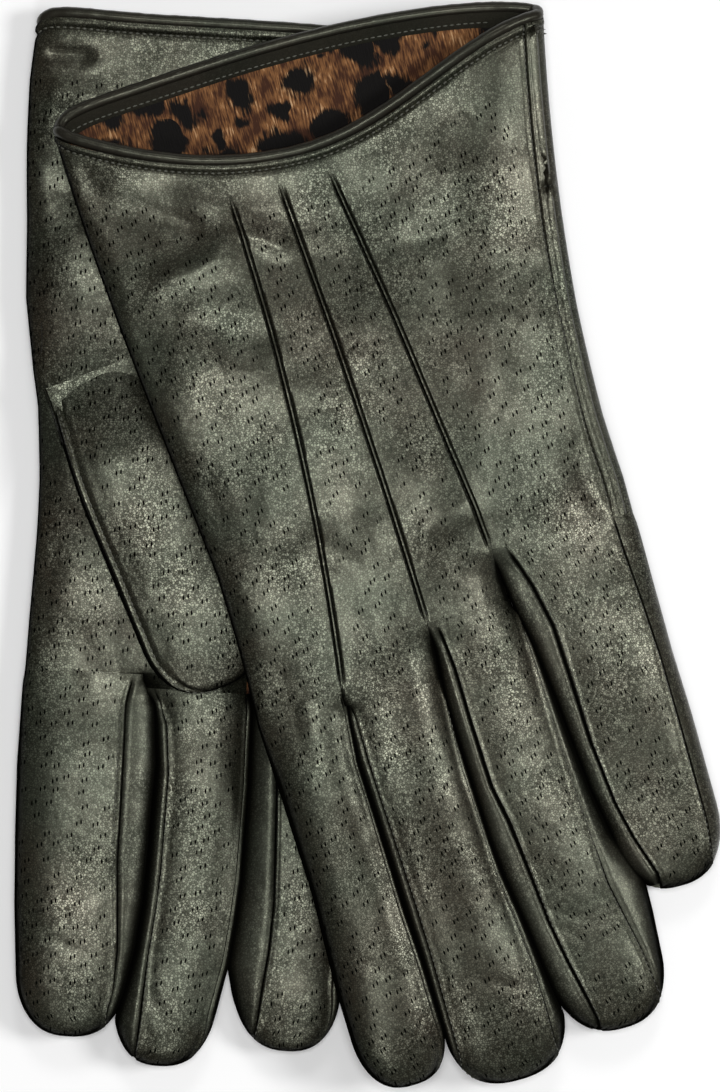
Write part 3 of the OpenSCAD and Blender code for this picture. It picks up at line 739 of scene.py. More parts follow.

# %% [markdown]
# ## Camera, floor and light
# The photograph looks straight down with hardly any perspective, so a long 250 mm lens stands 1.7 m above
# the pair. A soft lamp near the camera makes the satin leather gleam where it faces up. Three more at the
# right, the near and the far side do so for what lies tilted. Edges that turn away stay near black, partly
# from the lamps and partly from painted shade in the leather. The floor is white to the camera, keeps the
# soft shadow and throws little light back. It glows with distance, so that low views stay white too.

# %% Stage
scene = bpy.context.scene
scene.view_settings.view_transform = "Standard"
camera = bpy.data.objects.new("camera", bpy.data.cameras.new("camera"))
camera.data.lens = 250
camera.data.sensor_width = 36
camera.location = (-0.001776, -0.000009, 1.7143)
scene.collection.objects.link(camera)
scene.camera = camera
world = bpy.data.worlds.new("studio")
world.use_nodes = True
tree = world.node_tree
tree.nodes.clear()
lit = add(tree, "ShaderNodeBackground", {"Color": (1, 1, 1, 1), "Strength": 0.12})
add(tree, "ShaderNodeOutputWorld", {"Surface": lit.outputs[0]})
scene.world = world


def soft_lamp(name, at, size, power):
    lamp = bpy.data.objects.new(name, bpy.data.lights.new(name, "AREA"))
    lamp.data.shape = "DISK"
    lamp.data.size = size
    lamp.data.energy = power
    lamp.location = at
    lamp.rotation_euler = (-lamp.location).to_track_quat("-Z", "Y").to_euler()
    scene.collection.objects.link(lamp)


soft_lamp("top_softbox", (0.0, 0.08, 2.0), 0.46, 16.6)
soft_lamp("right_softbox", (1.4, 0.10, 1.4), 0.6, 17.0)
soft_lamp("near_softbox", (0.10, -1.0, 1.7), 0.5, 6.0)
soft_lamp("far_softbox", (0.10, 1.35, 1.5), 0.5, 5.0)
bpy.ops.object.select_all(action="DESELECT")
bpy.ops.mesh.primitive_plane_add(size=40, location=(0, 0, -0.0002))
floor = bpy.context.object
floor.name = "floor"
bpy.ops.object.transform_apply(location=True)
paper, tree, shader = start_material("matt_white_paper")
rays = add(tree, "ShaderNodeLightPath").outputs
mirrored = maths(tree, "MAXIMUM", rays["Is Glossy Ray"], rays["Is Transmission Ray"])
seen = maths(tree, "MAXIMUM", rays["Is Camera Ray"], mirrored)
far = distance(tree, add(tree, "ShaderNodeTexCoord").outputs["Object"])
glow = maths(tree, "MULTIPLY", seen, remap(tree, far, 0.4, 2.2, 0.06, 0.95))
wire(tree, shader, {
    "Base Color": tones(tree, seen, (0.3, 0.3, 0.3, 1), (0.9, 0.9, 0.9, 1)), "Roughness": 0.9,
    "Emission Color": (1, 1, 1, 1), "Emission Strength": glow})
floor.data.materials.append(paper)
floor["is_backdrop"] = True
print("camera:", tuple(round(v, 4) for v in camera.location))

# %% [markdown]
# ## The hands
# The back of a hand is one cut from the fold on the thumb side to the side seam, with a row of cells for
# each strip that ends where its finger begins. Close columns draw the three points: a welt 1 mm wide with a
# stitched groove on each side. The palm is a second cut that turns round the little-finger side and shows
# there as a strip.

# %% Rows and columns of a hand
RIDGE = np.array([0, 0.09, 0.17, 0.25, 0.33, 0.42, 0.52, 0.64, 0.85, 1.2, 1.8])
SEAM_STEPS = np.array([0, 0.22, 0.45, 0.7, 1.0, 1.4, 2.0])
SIDE_WRAP = 4.3
GUSSET_FROM = 97.0


def hand_columns(fine, ridges, side_seam):
    cols = [(0, s, 0.0) for s in np.linspace(0, 1, 34 if fine else 14)[:-1] ** 1.5 * 0.86]
    ends = np.concatenate([-RIDGE[:0:-1], RIDGE]) if ridges else np.array([0.0])
    for k, low, high, many, few in ((1, 0.25, 0.75, 14, 7), (2, 0.25, 0.75, 14, 7), (3, 0.12, 0.8, 30, 9)):
        cols += [(k, 0.0, d) for d in ends]
        cols += [(k, s, 0.0) for s in np.linspace(low, high, many if fine else few)]
    if side_seam:
        return cols + [(4, 0.0, -SIDE_WRAP - d) for d in SEAM_STEPS[::-1]]
    return cols + [(3, s, 0.0) for s in (0.86, 0.91, 0.95, 0.975, 0.99, 0.997)] + [(4, 0.0, 0.0)]


def hand_rows(g, fine):
    low = sorted(g.webs)
    step = 0.8 if fine else 2.5
    fixed = []
    for a, b in zip(low[:-1], low[1:]):
        fixed += list(np.linspace(a, b, max(2, int(round((b - a) / step)) + 1))[:-1])
    n = 110 if fine else 36
    shares = np.concatenate([np.linspace(0, 0.955, n), [0.965, 0.972, 0.978, 0.982, 0.986, 0.99, 0.995, 1.0]])
    return [(y, 0.0) for y in fixed] + [(low[3], s) for s in shares]


def hand_xy(g, rows, cols, rim):
    base = np.array([r[0] for r in rows])[:, None]
    share = np.array([r[1] for r in rows])[:, None]

    def at(y):
        lines = np.stack([strip_line(g, k, y) for k in range(5)])
        x = np.empty_like(y)
        for j, (k, s, d) in enumerate(cols):
            x[:, j] = mix(lines[k][:, j], lines[min(4, k + 1)][:, j], s) + d
        return x

    top = np.full((1, len(cols)), HAND_LEN)
    t = np.clip((at(top) - hand_mid(g, top)) / hand_half(g, top), -1, 1)
    y = mix(base, rim(t), share)
    return at(y), y


def hand_keep(g, rows, cols):
    base = np.array([r[0] for r in rows])
    strip = np.array([min(3, k - 1 if d < 0 else k) for k, s, d in cols])
    return base[:-1, None] >= np.array(g.webs)[strip[:-1]][None, :] - 1e-6


def hand_surface(g, x, y, upper, depth=0.0):
    t = np.clip((x - hand_mid(g, y)) / hand_half(g, y), -1, 1)
    inner = hand_mid(g, y) + t * (hand_half(g, y) - depth)
    half = (HAND_H / 2 - depth) * hand_share(g, x, y)
    return place(g, inner, y, HAND_H / 2 + np.where(upper, half, -half))


print("hand columns:", len(hand_columns(True, True, True)), "rows:", len(hand_rows(LEFT, True)))

# %% [markdown]
# ## Backs of the hands
# The back that faces up carries the points, the folds and the pin-holes. Its sewing lines are kept for the
# stitches.

# %% Backs of the hands
CUFF_RUN = 112
STITCH_OFFSET = 0.52


def welt(d, fade):
    d = np.abs(d)
    return fade * (0.5 * np.exp(-(d / 0.38) ** 4) - 0.5 * bell(d - 0.54, 0.17))


def rim_channel(rows):
    down = (1 - np.array([r[1] for r in rows])[:, None]) * CUFF_RUN
    return -0.6 * bell(down - 1.9, 0.4) + 0.35 * bell(down - 0.8, 0.55), down


def worn(g, points, x, y, down):
    return relief(points) * smooth(0, 6, x - left_edge(g, y)) * smooth(0, 5, down)


def make_back(g):
    up = g.top == "back"
    rows, cols = hand_rows(g, up), hand_columns(up, True, True)
    x, y = hand_xy(g, rows, cols, lambda t: back_rim(g, t))
    bare = hand_surface(g, x, y, up)
    keep = hand_keep(g, rows, cols)
    offset = np.full(x.shape, 9.0)
    fade = (1 - smooth(POINT_TOP - 5, POINT_TOP, y)) * up
    for k in (1, 2, 3):
        d = x - strip_line(g, k, y)
        offset = np.where(np.abs(d) < np.abs(offset), d, offset)
        fade = fade * np.where(np.abs(d) < 4, smooth(-1.0, 3.5, y - g.notches[k - 1]), 1)
    channel, down = rim_channel(rows)
    seam = right_edge(g, y) - SIDE_WRAP - x
    out = normals_of(bare) * (1 if up else -1)
    rise = welt(offset, fade) + lip(seam) * smooth(0, 8, y - g.webs[3]) + channel
    if up:
        rise = rise + worn(g, bare, x, y, down)
    points = bare + out * rise[..., None]
    # The painted edge shade reads a shape with only part of the welts' relief, so the points are not painted
    # too black
    plain = mix(bare, points, 0.6)
    punched = smooth(1.8, 2.4, np.abs(offset)) * smooth(9, 13, down) * smooth(2.2, 3.0, seam)
    flat = np.stack([x, y], -1)
    if up:
        SEAMS["rim_back"] = (points[-5], out[-5])
        SEAMS["points"] = []
        for k in (1, 2, 3):
            for d in (-STITCH_OFFSET, STITCH_OFFSET):
                j = [i for i, c in enumerate(cols) if c[0] == k and abs(c[2] - d) < 1e-6][0]
                on = (y[:, j] < POINT_TOP - 3) & (y[:, j] > max(g.webs[k - 1], g.webs[k]) + 1)
                SEAMS["points"].append((points[on, j], out[on, j]))
        j = len(cols) - 4
        on = y[:, j] > g.webs[3] + 1
        SEAMS["side"] = (points[on, j], out[on, j])
    else:
        points, flat, punched, keep, plain = flipped(points, flat, punched, keep, plain)
    piece = cut_sheet(g.name + "_hand_back", points, flat, nappa, LEATHER, punched, keep, plain=plain)
    hang(g, piece, ["back"])


print("points start", POINT_TOP, "mm above the web")

# %% [markdown]
# ## Palms and gussets
# A palm and the gusset at the top of its side strip are cut from one grid, so that they meet at the cross
# seam. The palm's edge is tucked under the back along the side seam.


# %% Palms and gussets
def make_palm(g):
    up = g.top == "palm"
    rows = hand_rows(g, True)
    front = hand_columns(up, False, False)
    wrap = [(3, s, 0.0) for s in (0.997, 0.99, 0.975, 0.95)]
    wrap += [(4, 0.0, -d) for d in np.linspace(2.4, SIDE_WRAP - 2, 4)]
    wrap += [(4, 0.0, -SIDE_WRAP + d) for d in (1.4, 1, 0.7, 0.45, 0.22, 0, -0.6)]
    x, y = hand_xy(g, rows, front, lambda t: palm_rim(g, t))
    wx, wy = hand_xy(g, rows, wrap, lambda t: back_rim(g, t))
    over = (np.arange(len(front) + len(wrap)) >= len(front))[None, :]
    x, y = np.concatenate([x, wx], 1), np.concatenate([y, wy], 1)
    points = hand_surface(g, x, y, over != up)
    keep = hand_keep(g, rows, front + wrap)
    channel, down = rim_channel(rows)
    seam = np.where(over, x - (right_edge(g, y) - SIDE_WRAP), 99)
    flat = np.stack([np.where(over, run_across(points) + left_edge(g, y), x), y], -1)
    out = normals_of(points) * (1 if up else -1)
    first = int(np.argmax(y[:, len(front)] > GUSSET_FROM))
    groove = (0.3 * bell(seam, 0.25) + 1.3 * smooth(0.1, 0.5, -seam)) * smooth(0, 4, y - g.webs[3])
    rise = channel - groove - 0.45 * bell(np.abs(y - y[first]), 0.7) * over
    rise = rise + np.where(over, 0, worn(g, points, x, y, down)) if up else rise * over
    points = points + out * rise[..., None]
    punched = smooth(9, 13, down) * ~over
    strip = over[:, 1:] & (np.arange(len(rows) - 1) >= first)[:, None]
    SEAMS[g.name + "_cross"] = (points[first, len(front):], out[first, len(front):])
    if up:
        SEAMS["rim_palm"] = (points[-5, :len(front)], out[-5, :len(front)])
    else:
        points, flat, punched, keep, strip = flipped(points, flat, punched, keep, strip)
    # Where the palm faces down only its side strip shows, so its painted edge shade is weakened
    shade_weight = 1.0 if up else 0.3
    palm = cut_sheet(g.name + "_hand_palm", points, flat, nappa, LEATHER, punched, keep & ~strip, shade_weight=shade_weight)
    hang(g, palm, ["palm"])
    i = np.flatnonzero((keep & strip).any(1))
    j = np.flatnonzero((keep & strip).any(0))
    part = (slice(i[0], i[-1] + 2), slice(j[0], j[-1] + 2))
    gusset = cut_sheet(g.name + "_cuff_gusset", points[part], flat[part], plain_nappa, LEATHER, shade_weight=shade_weight)
    hang(g, gusset, ["gusset"])


for glove in (LEFT, RIGHT):
    make_back(glove)
    make_palm(glove)
    print(glove.name, "hand back:", [round(v) for v in MADE[glove.name + "_hand_back"]])

# %% [markdown]
# ## Lining of the hands and facing of the cuffs
# The lining is a bag of pile knit that hangs inside the leather. A leather facing band four millimetres
# wide is sewn inside each palm's rim and covers the lining's edge, so it shows in the upper glove's open
# cuff.


# %% Hand linings and facings
FACING_LINES = np.array([4.2, 3.9, 3.5, 3.0, 2.5, 2.0, 1.4, 0.8, 0.2])
FACING_THICK = 1.5


def make_hand_lining(g, half_name):
    up = g.top == half_name
    rows, cols = hand_rows(g, False), hand_columns(False, False, False)
    rim = (lambda t: palm_rim(g, t) - 3.4) if half_name == "palm" else (lambda t: back_rim(g, t) - 1.5)
    x, y = hand_xy(g, rows, cols, rim)
    points = hand_surface(g, x, y, up, LEATHER + LINING_GAP + 1.1)
    keep = hand_keep(g, rows, cols)
    flat = np.stack([x, y], -1)
    if not up:
        points, flat, keep = flipped(points, flat, keep)
    name = "lining_" + half_name
    piece = cut_sheet(g.name + "_" + name + "_knit", points, flat, lining_knit, LINING, keep=keep)
    hang(g, piece, [name])


def make_facing(g):
    up = g.top == "palm"
    cols = hand_columns(True, False, False)
    x, y = hand_xy(g, [(0.0, 1.0)], cols, lambda t: palm_rim(g, t) - 0.2)
    points = np.array([hand_surface(g, x, y + 0.2 - d, up, LEATHER + 0.1)[0] for d in FACING_LINES])
    out = normals_of(points) * (1 if up else -1)
    count = len(FACING_LINES)
    flat = np.stack([np.repeat(x, count, 0), y - np.arange(count)[:, None]], -1)
    inside = slice(6, len(cols) - 7)
    SEAMS[g.name + "_facing"] = ((points - out * FACING_THICK)[4][inside], -out[4][inside])
    if not up:
        points, flat = flipped(points, flat)
    band = cut_sheet(g.name + "_cuff_facing", points, flat, facing_nappa, FACING_THICK)
    hang(g, band, [])


for glove in (LEFT, RIGHT):
    make_hand_lining(glove, "back")
    make_hand_lining(glove, "palm")
    make_facing(glove)
print("linings:", [n for n in MADE if "knit" in n])

# %% [markdown]
# ## The piped binding
# Each cuff is edged with a strip of smooth leather rolled over a fine cord. It follows the back's scooped
# rim, makes a tight turn at the corner and returns along the palm's rim, so it is swept as one closed bead.


# %% Bindings
RIM_STEPS, BEAD_STEPS = 90, 15
BEAD_INSET, BEAD_RADIUS = 1.2, 1.36


def make_binding(g):
    there = -np.cos(np.linspace(0, np.pi, RIM_STEPS, endpoint=False))
    t = np.concatenate([there, -there])
    on_back = np.arange(2 * RIM_STEPS) < RIM_STEPS
    y = np.where(on_back, back_rim(g, t), palm_rim(g, t)) + 1.1
    low = np.minimum(y, HAND_LEN)
    x = hand_mid(g, low) + t * (hand_half(g, low) - BEAD_INSET)
    z = (HAND_H / 2 - BEAD_INSET) * swell(t) * np.where(on_back == (g.top == "back"), 1, -1)
    line = place(g, x, y, HAND_H / 2 + z)
    for _ in range(3):
        line = 0.5 * line + 0.25 * (np.roll(line, 1, 0) + np.roll(line, -1, 0))
    ahead = np.roll(line, -1, 0) - np.roll(line, 1, 0)
    ahead /= np.linalg.norm(ahead, axis=1, keepdims=True)
    a = math.radians(g.turn)
    axis = np.array([-math.sin(a), math.cos(a), 0.0])
    axis = axis - (ahead @ axis)[:, None] * ahead
    axis /= np.linalg.norm(axis, axis=1, keepdims=True)
    side = np.cross(ahead, axis)
    turn = np.linspace(0, 2 * np.pi, BEAD_STEPS)
    run = np.concatenate([[0], np.cumsum(np.linalg.norm(np.diff(line, axis=0), axis=1))])
    # Hand-rolled leather: the bead swells and thins a little along its way
    radius = BEAD_RADIUS + 0.05 * np.sin(run * 0.9) * np.sin(run * 0.37 + 1) + 0.03 * np.sin(run * 2.3)
    ring = np.cos(turn)[None, :, None] * side[:, None] + np.sin(turn)[None, :, None] * axis[:, None]
    points = line[:, None] + ring * radius[:, None, None]
    points = np.concatenate([points, points[:1]])
    if np.sum(normals_of(points)[20] * ring[20]) < 0:
        points = points[:, ::-1]
    piece = grid_piece(g.name + "_cuff_binding", points)
    bpy.ops.object.mode_set(mode="EDIT")
    bpy.ops.mesh.select_all(action="SELECT")
    bpy.ops.mesh.remove_doubles(threshold=1e-6)
    bpy.ops.object.mode_set(mode="OBJECT")
    bpy.ops.object.shade_smooth()
    piece.data.materials.append(bead_nappa)
    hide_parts(g.name + "_binding")
    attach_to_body(piece, g.name + "_hand")
    print(piece.name, "bead", round(float(run[-1])), "mm round")


for glove in (LEFT, RIGHT):
    make_binding(glove)

# %% [markdown]
# ## The fingers
# A glove finger has a back, a palm and narrow side strips, the fourchettes. The fingers lie rolled a
# little, so on some of them a side strip shows. A seam that shows is given by a few places (y, x) in the
# glove's own frame, and the others by share of the finger's length and place across its half width. The
# panels meet at the tip.

# %% Finger seams
PLAIN = [(0, 0.93), (0.5, 0.9), (0.85, 0.88), (0.97, 0.985), (1, 0.985)]
# Seams that show from above, as (y, x); the others run down the finger's side as PLAIN says
SEAM_LINES = {
    ("left", 1, -1): [(-2, -24.6), (-17, -24.2), (-28, -23.6), (-51, -22.5), (-63, -22.0), (-84, -21.7)],
    ("left", 1, 1): [(-2, -3.5), (-24, -3.9), (-48, -2.6), (-58, -1.1), (-70, 0.1), (-81, 0.6)],
    ("left", 2, -1): [(9, -1.4), (-1, -0.3), (-14, 0.1), (-29, 0.9), (-38, 2.7), (-50, 4.2), (-62, 5.5),
                      (-72, 7.4), (-81, 9.4), (-87, 10.6)],
    ("left", 2, 1): [(10, 16.8), (-2, 17.8), (-19, 18.6), (-42, 19.9), (-57, 21.2), (-74, 24.9), (-84, 26)],
    ("left", 3, -1): [(22, 17.9), (12, 21.4), (2, 23.6), (-12, 24.4), (-26, 25), (-40, 26.7), (-49, 28.9),
                      (-58, 32)],
    ("left", 3, 1): [(22, 43.6), (15, 43.9), (1, 45.0), (-10, 45.7), (-29, 46.1), (-50, 46.3), (-60, 45)],
    ("right", 0, 1): [(-7, -22.4), (-14, -23.6), (-48, -23.4), (-58, -22.8), (-69, -22.2), (-78, -22.6),
                      (-86, -24)],
    ("right", 1, -1): [(-9, -18.6), (-18, -15.3), (-29, -14.2), (-51, -14.7), (-60, -15.3), (-70, -16.3),
                       (-92, -17.6)],
    ("right", 2, -1): [(2, 3.6), (-10, 6.5), (-26, 8.9), (-46, 9.7), (-57, 10), (-67, 9.6), (-75, 8.7),
                       (-86, 7.6)],
}
TIP_RUN = 13
SIDE_WORDS = {-1: "_thumbward", 1: "_outward"}


def seam_angle(g, f, side, rows, plain=False):
    s = rows[0]
    rel = along(PLAIN, s)
    if not plain and (g.name, f, side) in SEAM_LINES:
        middle, full = finger_sides(g, f, s)
        line = along(SEAM_LINES[g.name, f, side], g.webs[f] - s * finger_len(g, f))
        rel = np.clip(side * (line - middle) / (full * rows[1]), 0.2, 0.985)
    return np.degrees(np.arcsin(rel ** 1.25))


print("seams that show:", len(SEAM_LINES))

# %% [markdown]
# ## Shape of a finger
# A finger is a rounded bag that narrows to its tip. Its rows go down its length and its angles go round it,
# with 0 at the top. Where the frame has a joint for it, a short run at its root is found, but the finger
# stays fixed.


# %% Finger surface
def tip_rows(length, n, steps, thick_power, skirt=()):
    start = 1 - TIP_RUN / length
    turn = np.radians(np.linspace(0, 90, steps))[1:]
    s = np.concatenate([skirt, np.linspace(0, start, n), start + (1 - start) * np.sin(turn)])
    ones = np.ones(n + len(skirt))
    wide = np.concatenate([ones, np.maximum(np.cos(turn), 0.012) ** 0.75])
    return s, wide, np.concatenate([ones, np.maximum(np.cos(turn), 0) ** thick_power])


def finger_rows(g, f, fine):
    length = finger_len(g, f)
    return tip_rows(length, int(length / (0.85 if fine else 3)), 16 if fine else 9, 0.5)


def finger_surface(g, f, rows, q, depth=0.0):
    s, wide, thick = (v[:, None] for v in rows)
    length = finger_len(g, f)
    l = s * length - depth * smooth(0.55, 1, s)
    y = g.webs[f] - l
    rel = signed_pow(np.sin(np.radians(q)), 0.8)
    middle, full = finger_sides(g, f, l / length)
    half = (full - depth) * wide
    rise = mix(HAND_H, g.thick[f], smooth(0, 0.3, s)) / 2
    tall = (rise - depth) * thick * finger_share(g, f, rel, y, full)
    z = rise + np.where(np.cos(np.radians(q)) >= 0, tall, -tall)
    return place(g, middle + half * rel, y + 0 * q, z)


def finger_bend(g, f):
    body = g.name + "_" + FINGERS[f]
    if body not in frame["bodies"]:
        return None
    ends = []
    for l in (0.2, 13.0):
        p = place(g, finger_mid(g, f, np.array(l)), np.array(g.webs[f] - l), np.array(HAND_H))
        ends.append(tuple(float(v) / 1000 for v in p))
    return g.name + "_hand", body, ends[0], ends[1]


SHARES = np.concatenate([[0, 0.011, 0.023, 0.037, 0.055, 0.08, 0.11], np.linspace(0.15, 0.85, 20),
                         [0.89, 0.92, 0.945, 0.963, 0.977, 0.989, 1]])


print("finger columns:", len(SHARES), "rows:", len(finger_rows(LEFT, 1, True)[0]))

# %% [markdown]
# ## Pieces of a finger
# The panel that faces up gets raised lips beside its seams, the folds and the pin-holes. The fourchettes
# are tucked in along both edges, and the lining is a closed bag inside.


# %% Finger pieces
def down_finger(g, f, at, run):
    return g.webs[f] - at[:, None] * finger_len(g, f) + 0 * run


def make_finger_panel(g, f, part):
    upper = g.top == part
    rows = finger_rows(g, f, upper)
    at = rows[0]
    low = np.full(len(at), -90.0) if f == 0 else -seam_angle(g, f, -1, rows, not upper)
    high = seam_angle(g, f, 1, rows, not upper and f < 3)
    if not upper:
        low = -180 - low
        high = -180 - high if f < 3 else -360 + high
    q = mix(low[:, None], high[:, None], (SHARES if upper else np.linspace(0, 1, 17))[None, :])
    points = finger_surface(g, f, rows, q)
    if upper:
        points, at = points[::-1], at[::-1]
    run = run_across(points)
    left = run[:, -1:] - run
    flat = np.stack([run - run[:, -1:] / 2 + np.mean(EDGES[f:f + 2]), down_finger(g, f, at, run)], -1)
    facing = normals_of(points)
    punched = 0.0
    if upper:
        grow = smooth(0, 0.05, at)[:, None]
        rise = lip(left) * grow + (lip(run) * grow if f > 0 else 0)
        folds = relief(points) * np.maximum(0, facing[..., 2]) * 0.4
        points = points + facing * ((rise + folds) * smooth(0, 0.04, 1 - at)[:, None])[..., None]
        punched = smooth(1.8, 2.6, left) * smooth(1.8, 2.6, run if f > 0 else run + 3)
        SEAMS[g.name, f] = (points, facing, at)
    else:
        flat = flat * [-1, 1]
    name = FINGERS[f] + "_" + part
    # A little finger's lower panel shows along its side, so its painted edge shade is weakened
    shade_weight = 1.0 if upper or f < 3 else 0.3
    piece = cut_sheet(g.name + "_" + name + "_leather", points, flat, nappa, LEATHER, punched, shade_weight=shade_weight)
    hang(g, piece, [name], finger_bend(g, f))


def make_fourchettes(g, f):
    rows = finger_rows(g, f, True)
    rows = [v[rows[0] < 0.985] for v in rows]
    made = []
    for side in [side for side in (-1, 1) if 0 <= f + side <= 3]:
        a, b = seam_angle(g, f, side, rows) - 3.0, 180 - seam_angle(g, f, side, rows, True) + 2.0
        q = np.concatenate([mix(a[:, None], 89.9, np.linspace(0, 1, 12)[None, :] ** 1.4),
                            mix(90.1, b[:, None], np.linspace(0, 1, 6)[None, :])], 1)
        points, at = finger_surface(g, f, rows, side * q), rows[0]
        if side > 0:
            points, at = points[::-1], at[::-1]
        run = run_across(points)
        flat = np.stack([run, down_finger(g, f, at, run)], -1)
        tuck = -0.95 * bell(run, 0.75) - 0.5 * bell(run[:, -1:] - run, 0.6)
        points = points + normals_of(points) * (tuck * smooth(0, 0.05, at)[:, None])[..., None]
        name = g.name + "_" + FINGERS[f] + SIDE_WORDS[side] + "_fourchette"
        made.append(cut_sheet(name, points, flat, strip_nappa, LEATHER))
    finger = FINGERS[f]
    for piece in made:
        hang(g, piece, [finger + "_fourchettes"], finger_bend(g, f))


# A lining bag goes all the way round, so its last column is its first
def round_angles(rows):
    return np.linspace(-180, 180, 33)[None, :] + 0 * rows[0][:, None]


def make_finger_lining(g, f):
    name = FINGERS[f] + "_lining"
    rows = finger_rows(g, f, False)
    points = finger_surface(g, f, rows, round_angles(rows), LEATHER + LINING_GAP + 0.5)[::-1]
    points[:, -1] = points[:, 0]
    run = run_across(points)
    flat = np.stack([run, down_finger(g, f, rows[0][::-1], run) - g.webs[f]], -1)
    piece = cut_sheet(g.name + "_" + name + "_knit", points, flat, lining_knit, LINING, closed=True)
    hang(g, piece, [name], finger_bend(g, f))


for glove in (LEFT, RIGHT):
    for f in range(4):
        make_finger_panel(glove, f, "back")
        make_finger_panel(glove, f, "palm")
        make_fourchettes(glove, f)
        make_finger_lining(glove, f)
    print(glove.name, "fingers made,", len(MADE), "sheets so far")

# %% [markdown]
# ## The thumbs
# Each thumb is a flat bag of two halves. The lower glove's thumb shows: its outer half grows out of the
# heel of the palm, so its leather starts level with the palm and rises, and a double ridge marks the seam
# on its side.


# %% Thumbs
THUMB_LEN, THUMB_HALF, THUMB_RISE = 76, 12.5, 3.1
THUMB_SEAM = 72.0
SKIRT = -0.34


def thumb_surface(g, rows, q, depth=0.0):
    s, wide, thick = (v[:, None] for v in rows)
    l = s * (THUMB_LEN - depth)
    half = (THUMB_HALF * mix(0.86, 1, smooth(0, 0.4, s)) - depth) * wide
    rise = THUMB_RISE * mix(0.32, 1, smooth(0, 0.3, s))
    tall = np.maximum(0.02, rise - depth) * thick * signed_pow(np.cos(np.radians(q)), 0.8)
    a = math.radians(g.thumb[2])
    u = half * signed_pow(np.sin(np.radians(q)), 0.8)
    x = u * math.cos(a) + l * math.sin(a) - g.thumb[0]
    y = u * math.sin(a) - l * math.cos(a) + g.thumb[1]
    return x, y, STACK_H + rise + tall


def thumb_rows(shown):
    skirt = np.linspace(SKIRT, 0, 26)[:-1] if shown else ()
    return tip_rows(THUMB_LEN, 76 if shown else 20, 14 if shown else 8, 0.6, skirt)


def thumb_bend(g):
    if g is LEFT:
        return None
    root = place(g, *(np.array(float(v)) for v in (-g.thumb[0], g.thumb[1], STACK_H + THUMB_RISE)), False)
    lean = math.radians(g.thumb[2] + g.turn)
    way = np.array([math.sin(lean), -math.cos(lean), 0.0])
    return "right_hand", "right_thumb", tuple((root - way * 4) / 1000), tuple((root + way * 10) / 1000)


def make_thumb_half(g, part):
    upper = (part == "outer") == (g.top == "palm")
    shown = upper and g is RIGHT
    rows = thumb_rows(shown)
    at = rows[0]
    low, high = (-THUMB_SEAM, 90.0) if upper else (-360 + 90.0, -THUMB_SEAM)
    q = mix(low, high, SHARES if shown else np.linspace(0, 1, 17))[None, :] + 0 * at[:, None]
    x, y, z = thumb_surface(g, rows, q)
    if shown:
        # The skirt grows out of the palm: it starts just under the palm's surface and stays inside its edge
        x = np.maximum(x, left_edge(g, y) + mix(3.0, 0.6, smooth(-0.2, 0.05, at))[:, None])
        palm = HAND_H / 2 * (1 + hand_share(g, x, y))
        sunk = mix(-1.2, 0.3, smooth(SKIRT, -0.12, at))[:, None]
        z = mix(palm + sunk, z, smooth(-0.2, 0.16, at)[:, None])
    points = place(g, x, y, z, False)
    flat = np.stack([x, y], -1)
    if upper:
        points, flat, at = points[::-1], flat[::-1], at[::-1]
    else:
        points, flat = flipped(points, flat)
    punched = 0.0
    if shown:
        facing = normals_of(points)
        run = run_across(points)
        grow = smooth(-0.05, 0.08, at)[:, None] * smooth(0, 0.04, 1 - at)[:, None]
        ridges = 0.5 * bell(run - 0.95, 0.5) + 0.25 * bell(run - 2.9, 0.6)
        grooves = 0.5 * bell(run, 0.3) + 0.5 * bell(run - 1.95, 0.32)
        folds = 0.6 * relief(points) * smooth(0, 0.06, 1 - at)[:, None]
        points = points + facing * ((ridges - grooves) * grow + folds)[..., None]
        punched = smooth(3.0, 4.0, run)
        SEAMS["thumb"] = (points, facing, at)
    name = "thumb_" + part
    piece = cut_sheet(g.name + "_" + name + "_leather", points, flat, nappa, LEATHER, punched)
    hang(g, piece, [name], thumb_bend(g))


def make_thumb_lining(g):
    rows = thumb_rows(False)
    rows = [v[rows[0] > 0.2] for v in rows]
    x, y, z = thumb_surface(g, rows, round_angles(rows), LEATHER + LINING_GAP)
    points = place(g, x, y, z, False)[::-1]
    points[:, -1] = points[:, 0]
    flat = np.stack([x, y], -1)[::-1]
    piece = cut_sheet(g.name + "_thumb_lining_knit", points, flat, lining_knit, 0.6, closed=True)
    hang(g, piece, ["thumb_lining"], thumb_bend(g))


for glove in (LEFT, RIGHT):
    make_thumb_half(glove, "outer")
    make_thumb_half(glove, "inner")
    make_thumb_lining(glove)
print("thumbs made,", len(MADE), "sheets in all")

# %% [markdown]
# ## Stitching
# One stitch is a slim bead of thread. It is modelled once from a small sphere, flattened and drawn out, and
# then laid along the sewing lines that the sheets have kept: round the cuffs, beside the points and along
# the seams.

# %% Stitches
bpy.ops.object.select_all(action="DESELECT")
bpy.ops.mesh.primitive_uv_sphere_add(segments=6, ring_count=5, radius=1)
bead = bpy.context.object
BEAD_POINTS = np.array([v.co[:] for v in bead.data.vertices])
BEAD_FACES = [list(p.vertices) for p in bead.data.polygons]
bpy.data.objects.remove(bead)


def stitch_spots(points, normals, pitch):
    step = np.linalg.norm(np.diff(points, axis=0), axis=1)
    run = np.concatenate([[0], np.cumsum(step)])
    at = (np.arange(int(run[-1] / pitch)) + 0.5) * pitch

    def on(values, places):
        return np.stack([np.interp(places, run, values[:, k]) for k in range(3)], -1)

    centre = on(points, at)
    return centre, on(points, at + 0.3) - centre, on(normals, at)


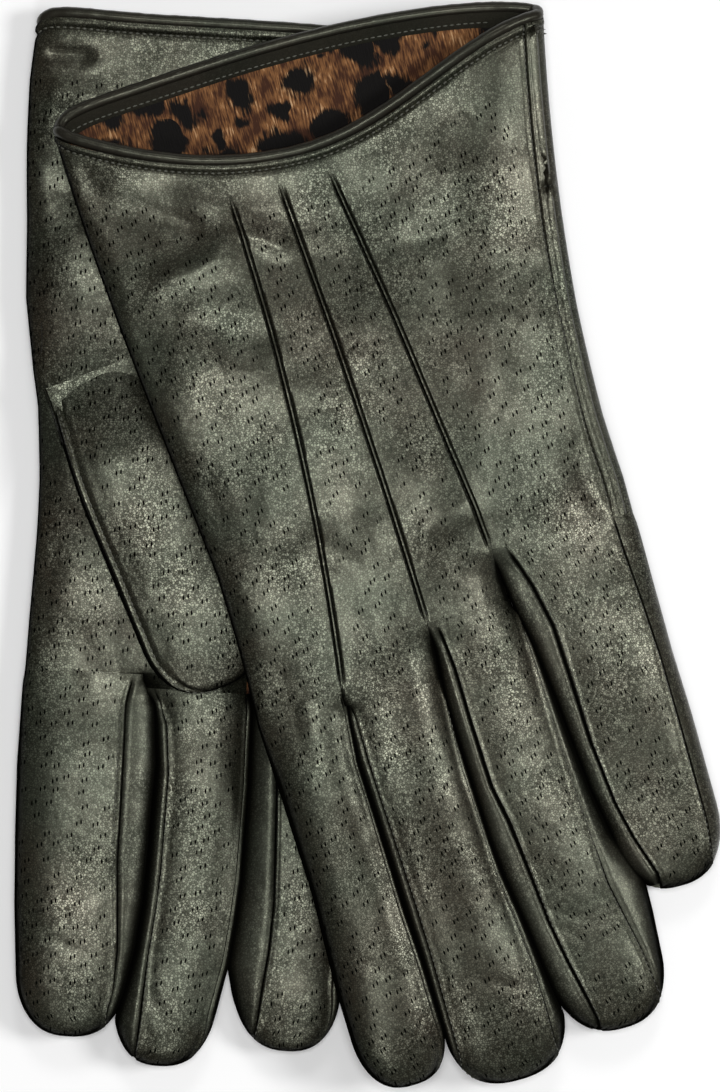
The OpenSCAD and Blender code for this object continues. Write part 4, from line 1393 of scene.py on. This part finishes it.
def sew(name, lines, pitch, length, width, body, bend=None, lift=0.06):
    verts, faces = [], []
    for points, normals in lines:
        for c, t, n in zip(*stitch_spots(np.asarray(points), np.asarray(normals), pitch)):
            t = t / max(np.linalg.norm(t), 1e-9)
            n = n - (n @ t) * t
            n = n / max(np.linalg.norm(n), 1e-9)
            b = np.cross(n, t)
            base = len(verts)
            local = BEAD_POINTS * [length / 2, width / 2, width * 0.45]
            verts += list(c + n * lift + local @ np.stack([t, b, n]))
            faces += [[base + i for i in face] for face in BEAD_FACES]
    mesh = bpy.data.meshes.new(name)
    mesh.from_pydata([tuple(v / 1000) for v in verts], [], faces)
    piece = bpy.data.objects.new(name, mesh)
    scene.collection.objects.link(piece)
    mesh.shade_smooth()
    mesh.materials.append(thread)
    attach(piece, body, bend)
    print(name, len(verts) // len(BEAD_POINTS), "stitches")


sew("left_cuff_stitching", [SEAMS["rim_back"]], 1.5, 1.1, 0.46, "left_hand", lift=0.16)
sew("left_facing_stitching", [SEAMS["left_facing"]], 1.5, 1.2, 0.36, "left_hand")
sew("right_cuff_stitching", [SEAMS["rim_palm"]], 1.5, 1.1, 0.46, "right_hand", lift=0.16)
sew("left_point_stitching", SEAMS["points"], 1.4, 0.8, 0.15, "left_hand")
sew("left_side_stitching", [SEAMS["side"], SEAMS["left_cross"]], 1.5, 1.0, 0.28, "left_hand")
for name, f, side in SEAM_LINES:
    points, facing, at = SEAMS[name, f]
    column = 4 if side < 0 else -5
    on = (at > 0.06) & (at < 0.97)
    glove = LEFT if name == "left" else RIGHT
    sew(name + "_" + FINGERS[f] + SIDE_WORDS[side] + "_stitching",
        [(points[on, column], facing[on, column])], 1.5, 0.85, 0.26, name + "_hand", finger_bend(glove, f))
points, facing, at = SEAMS["thumb"]
on = at > 0.05
sew("right_thumb_stitching", [(points[on, 6], facing[on, 6])], 1.6, 1.2, 0.36, "right_hand",
    thumb_bend(RIGHT))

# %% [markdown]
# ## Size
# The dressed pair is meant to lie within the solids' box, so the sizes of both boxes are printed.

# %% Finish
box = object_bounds()
for label, (low, high) in (("solids", cad_box), ("dressed", box)):
    print(label, "size:", [round((b - a) * 1000, 1) for a, b in zip(low, high)], "mm")
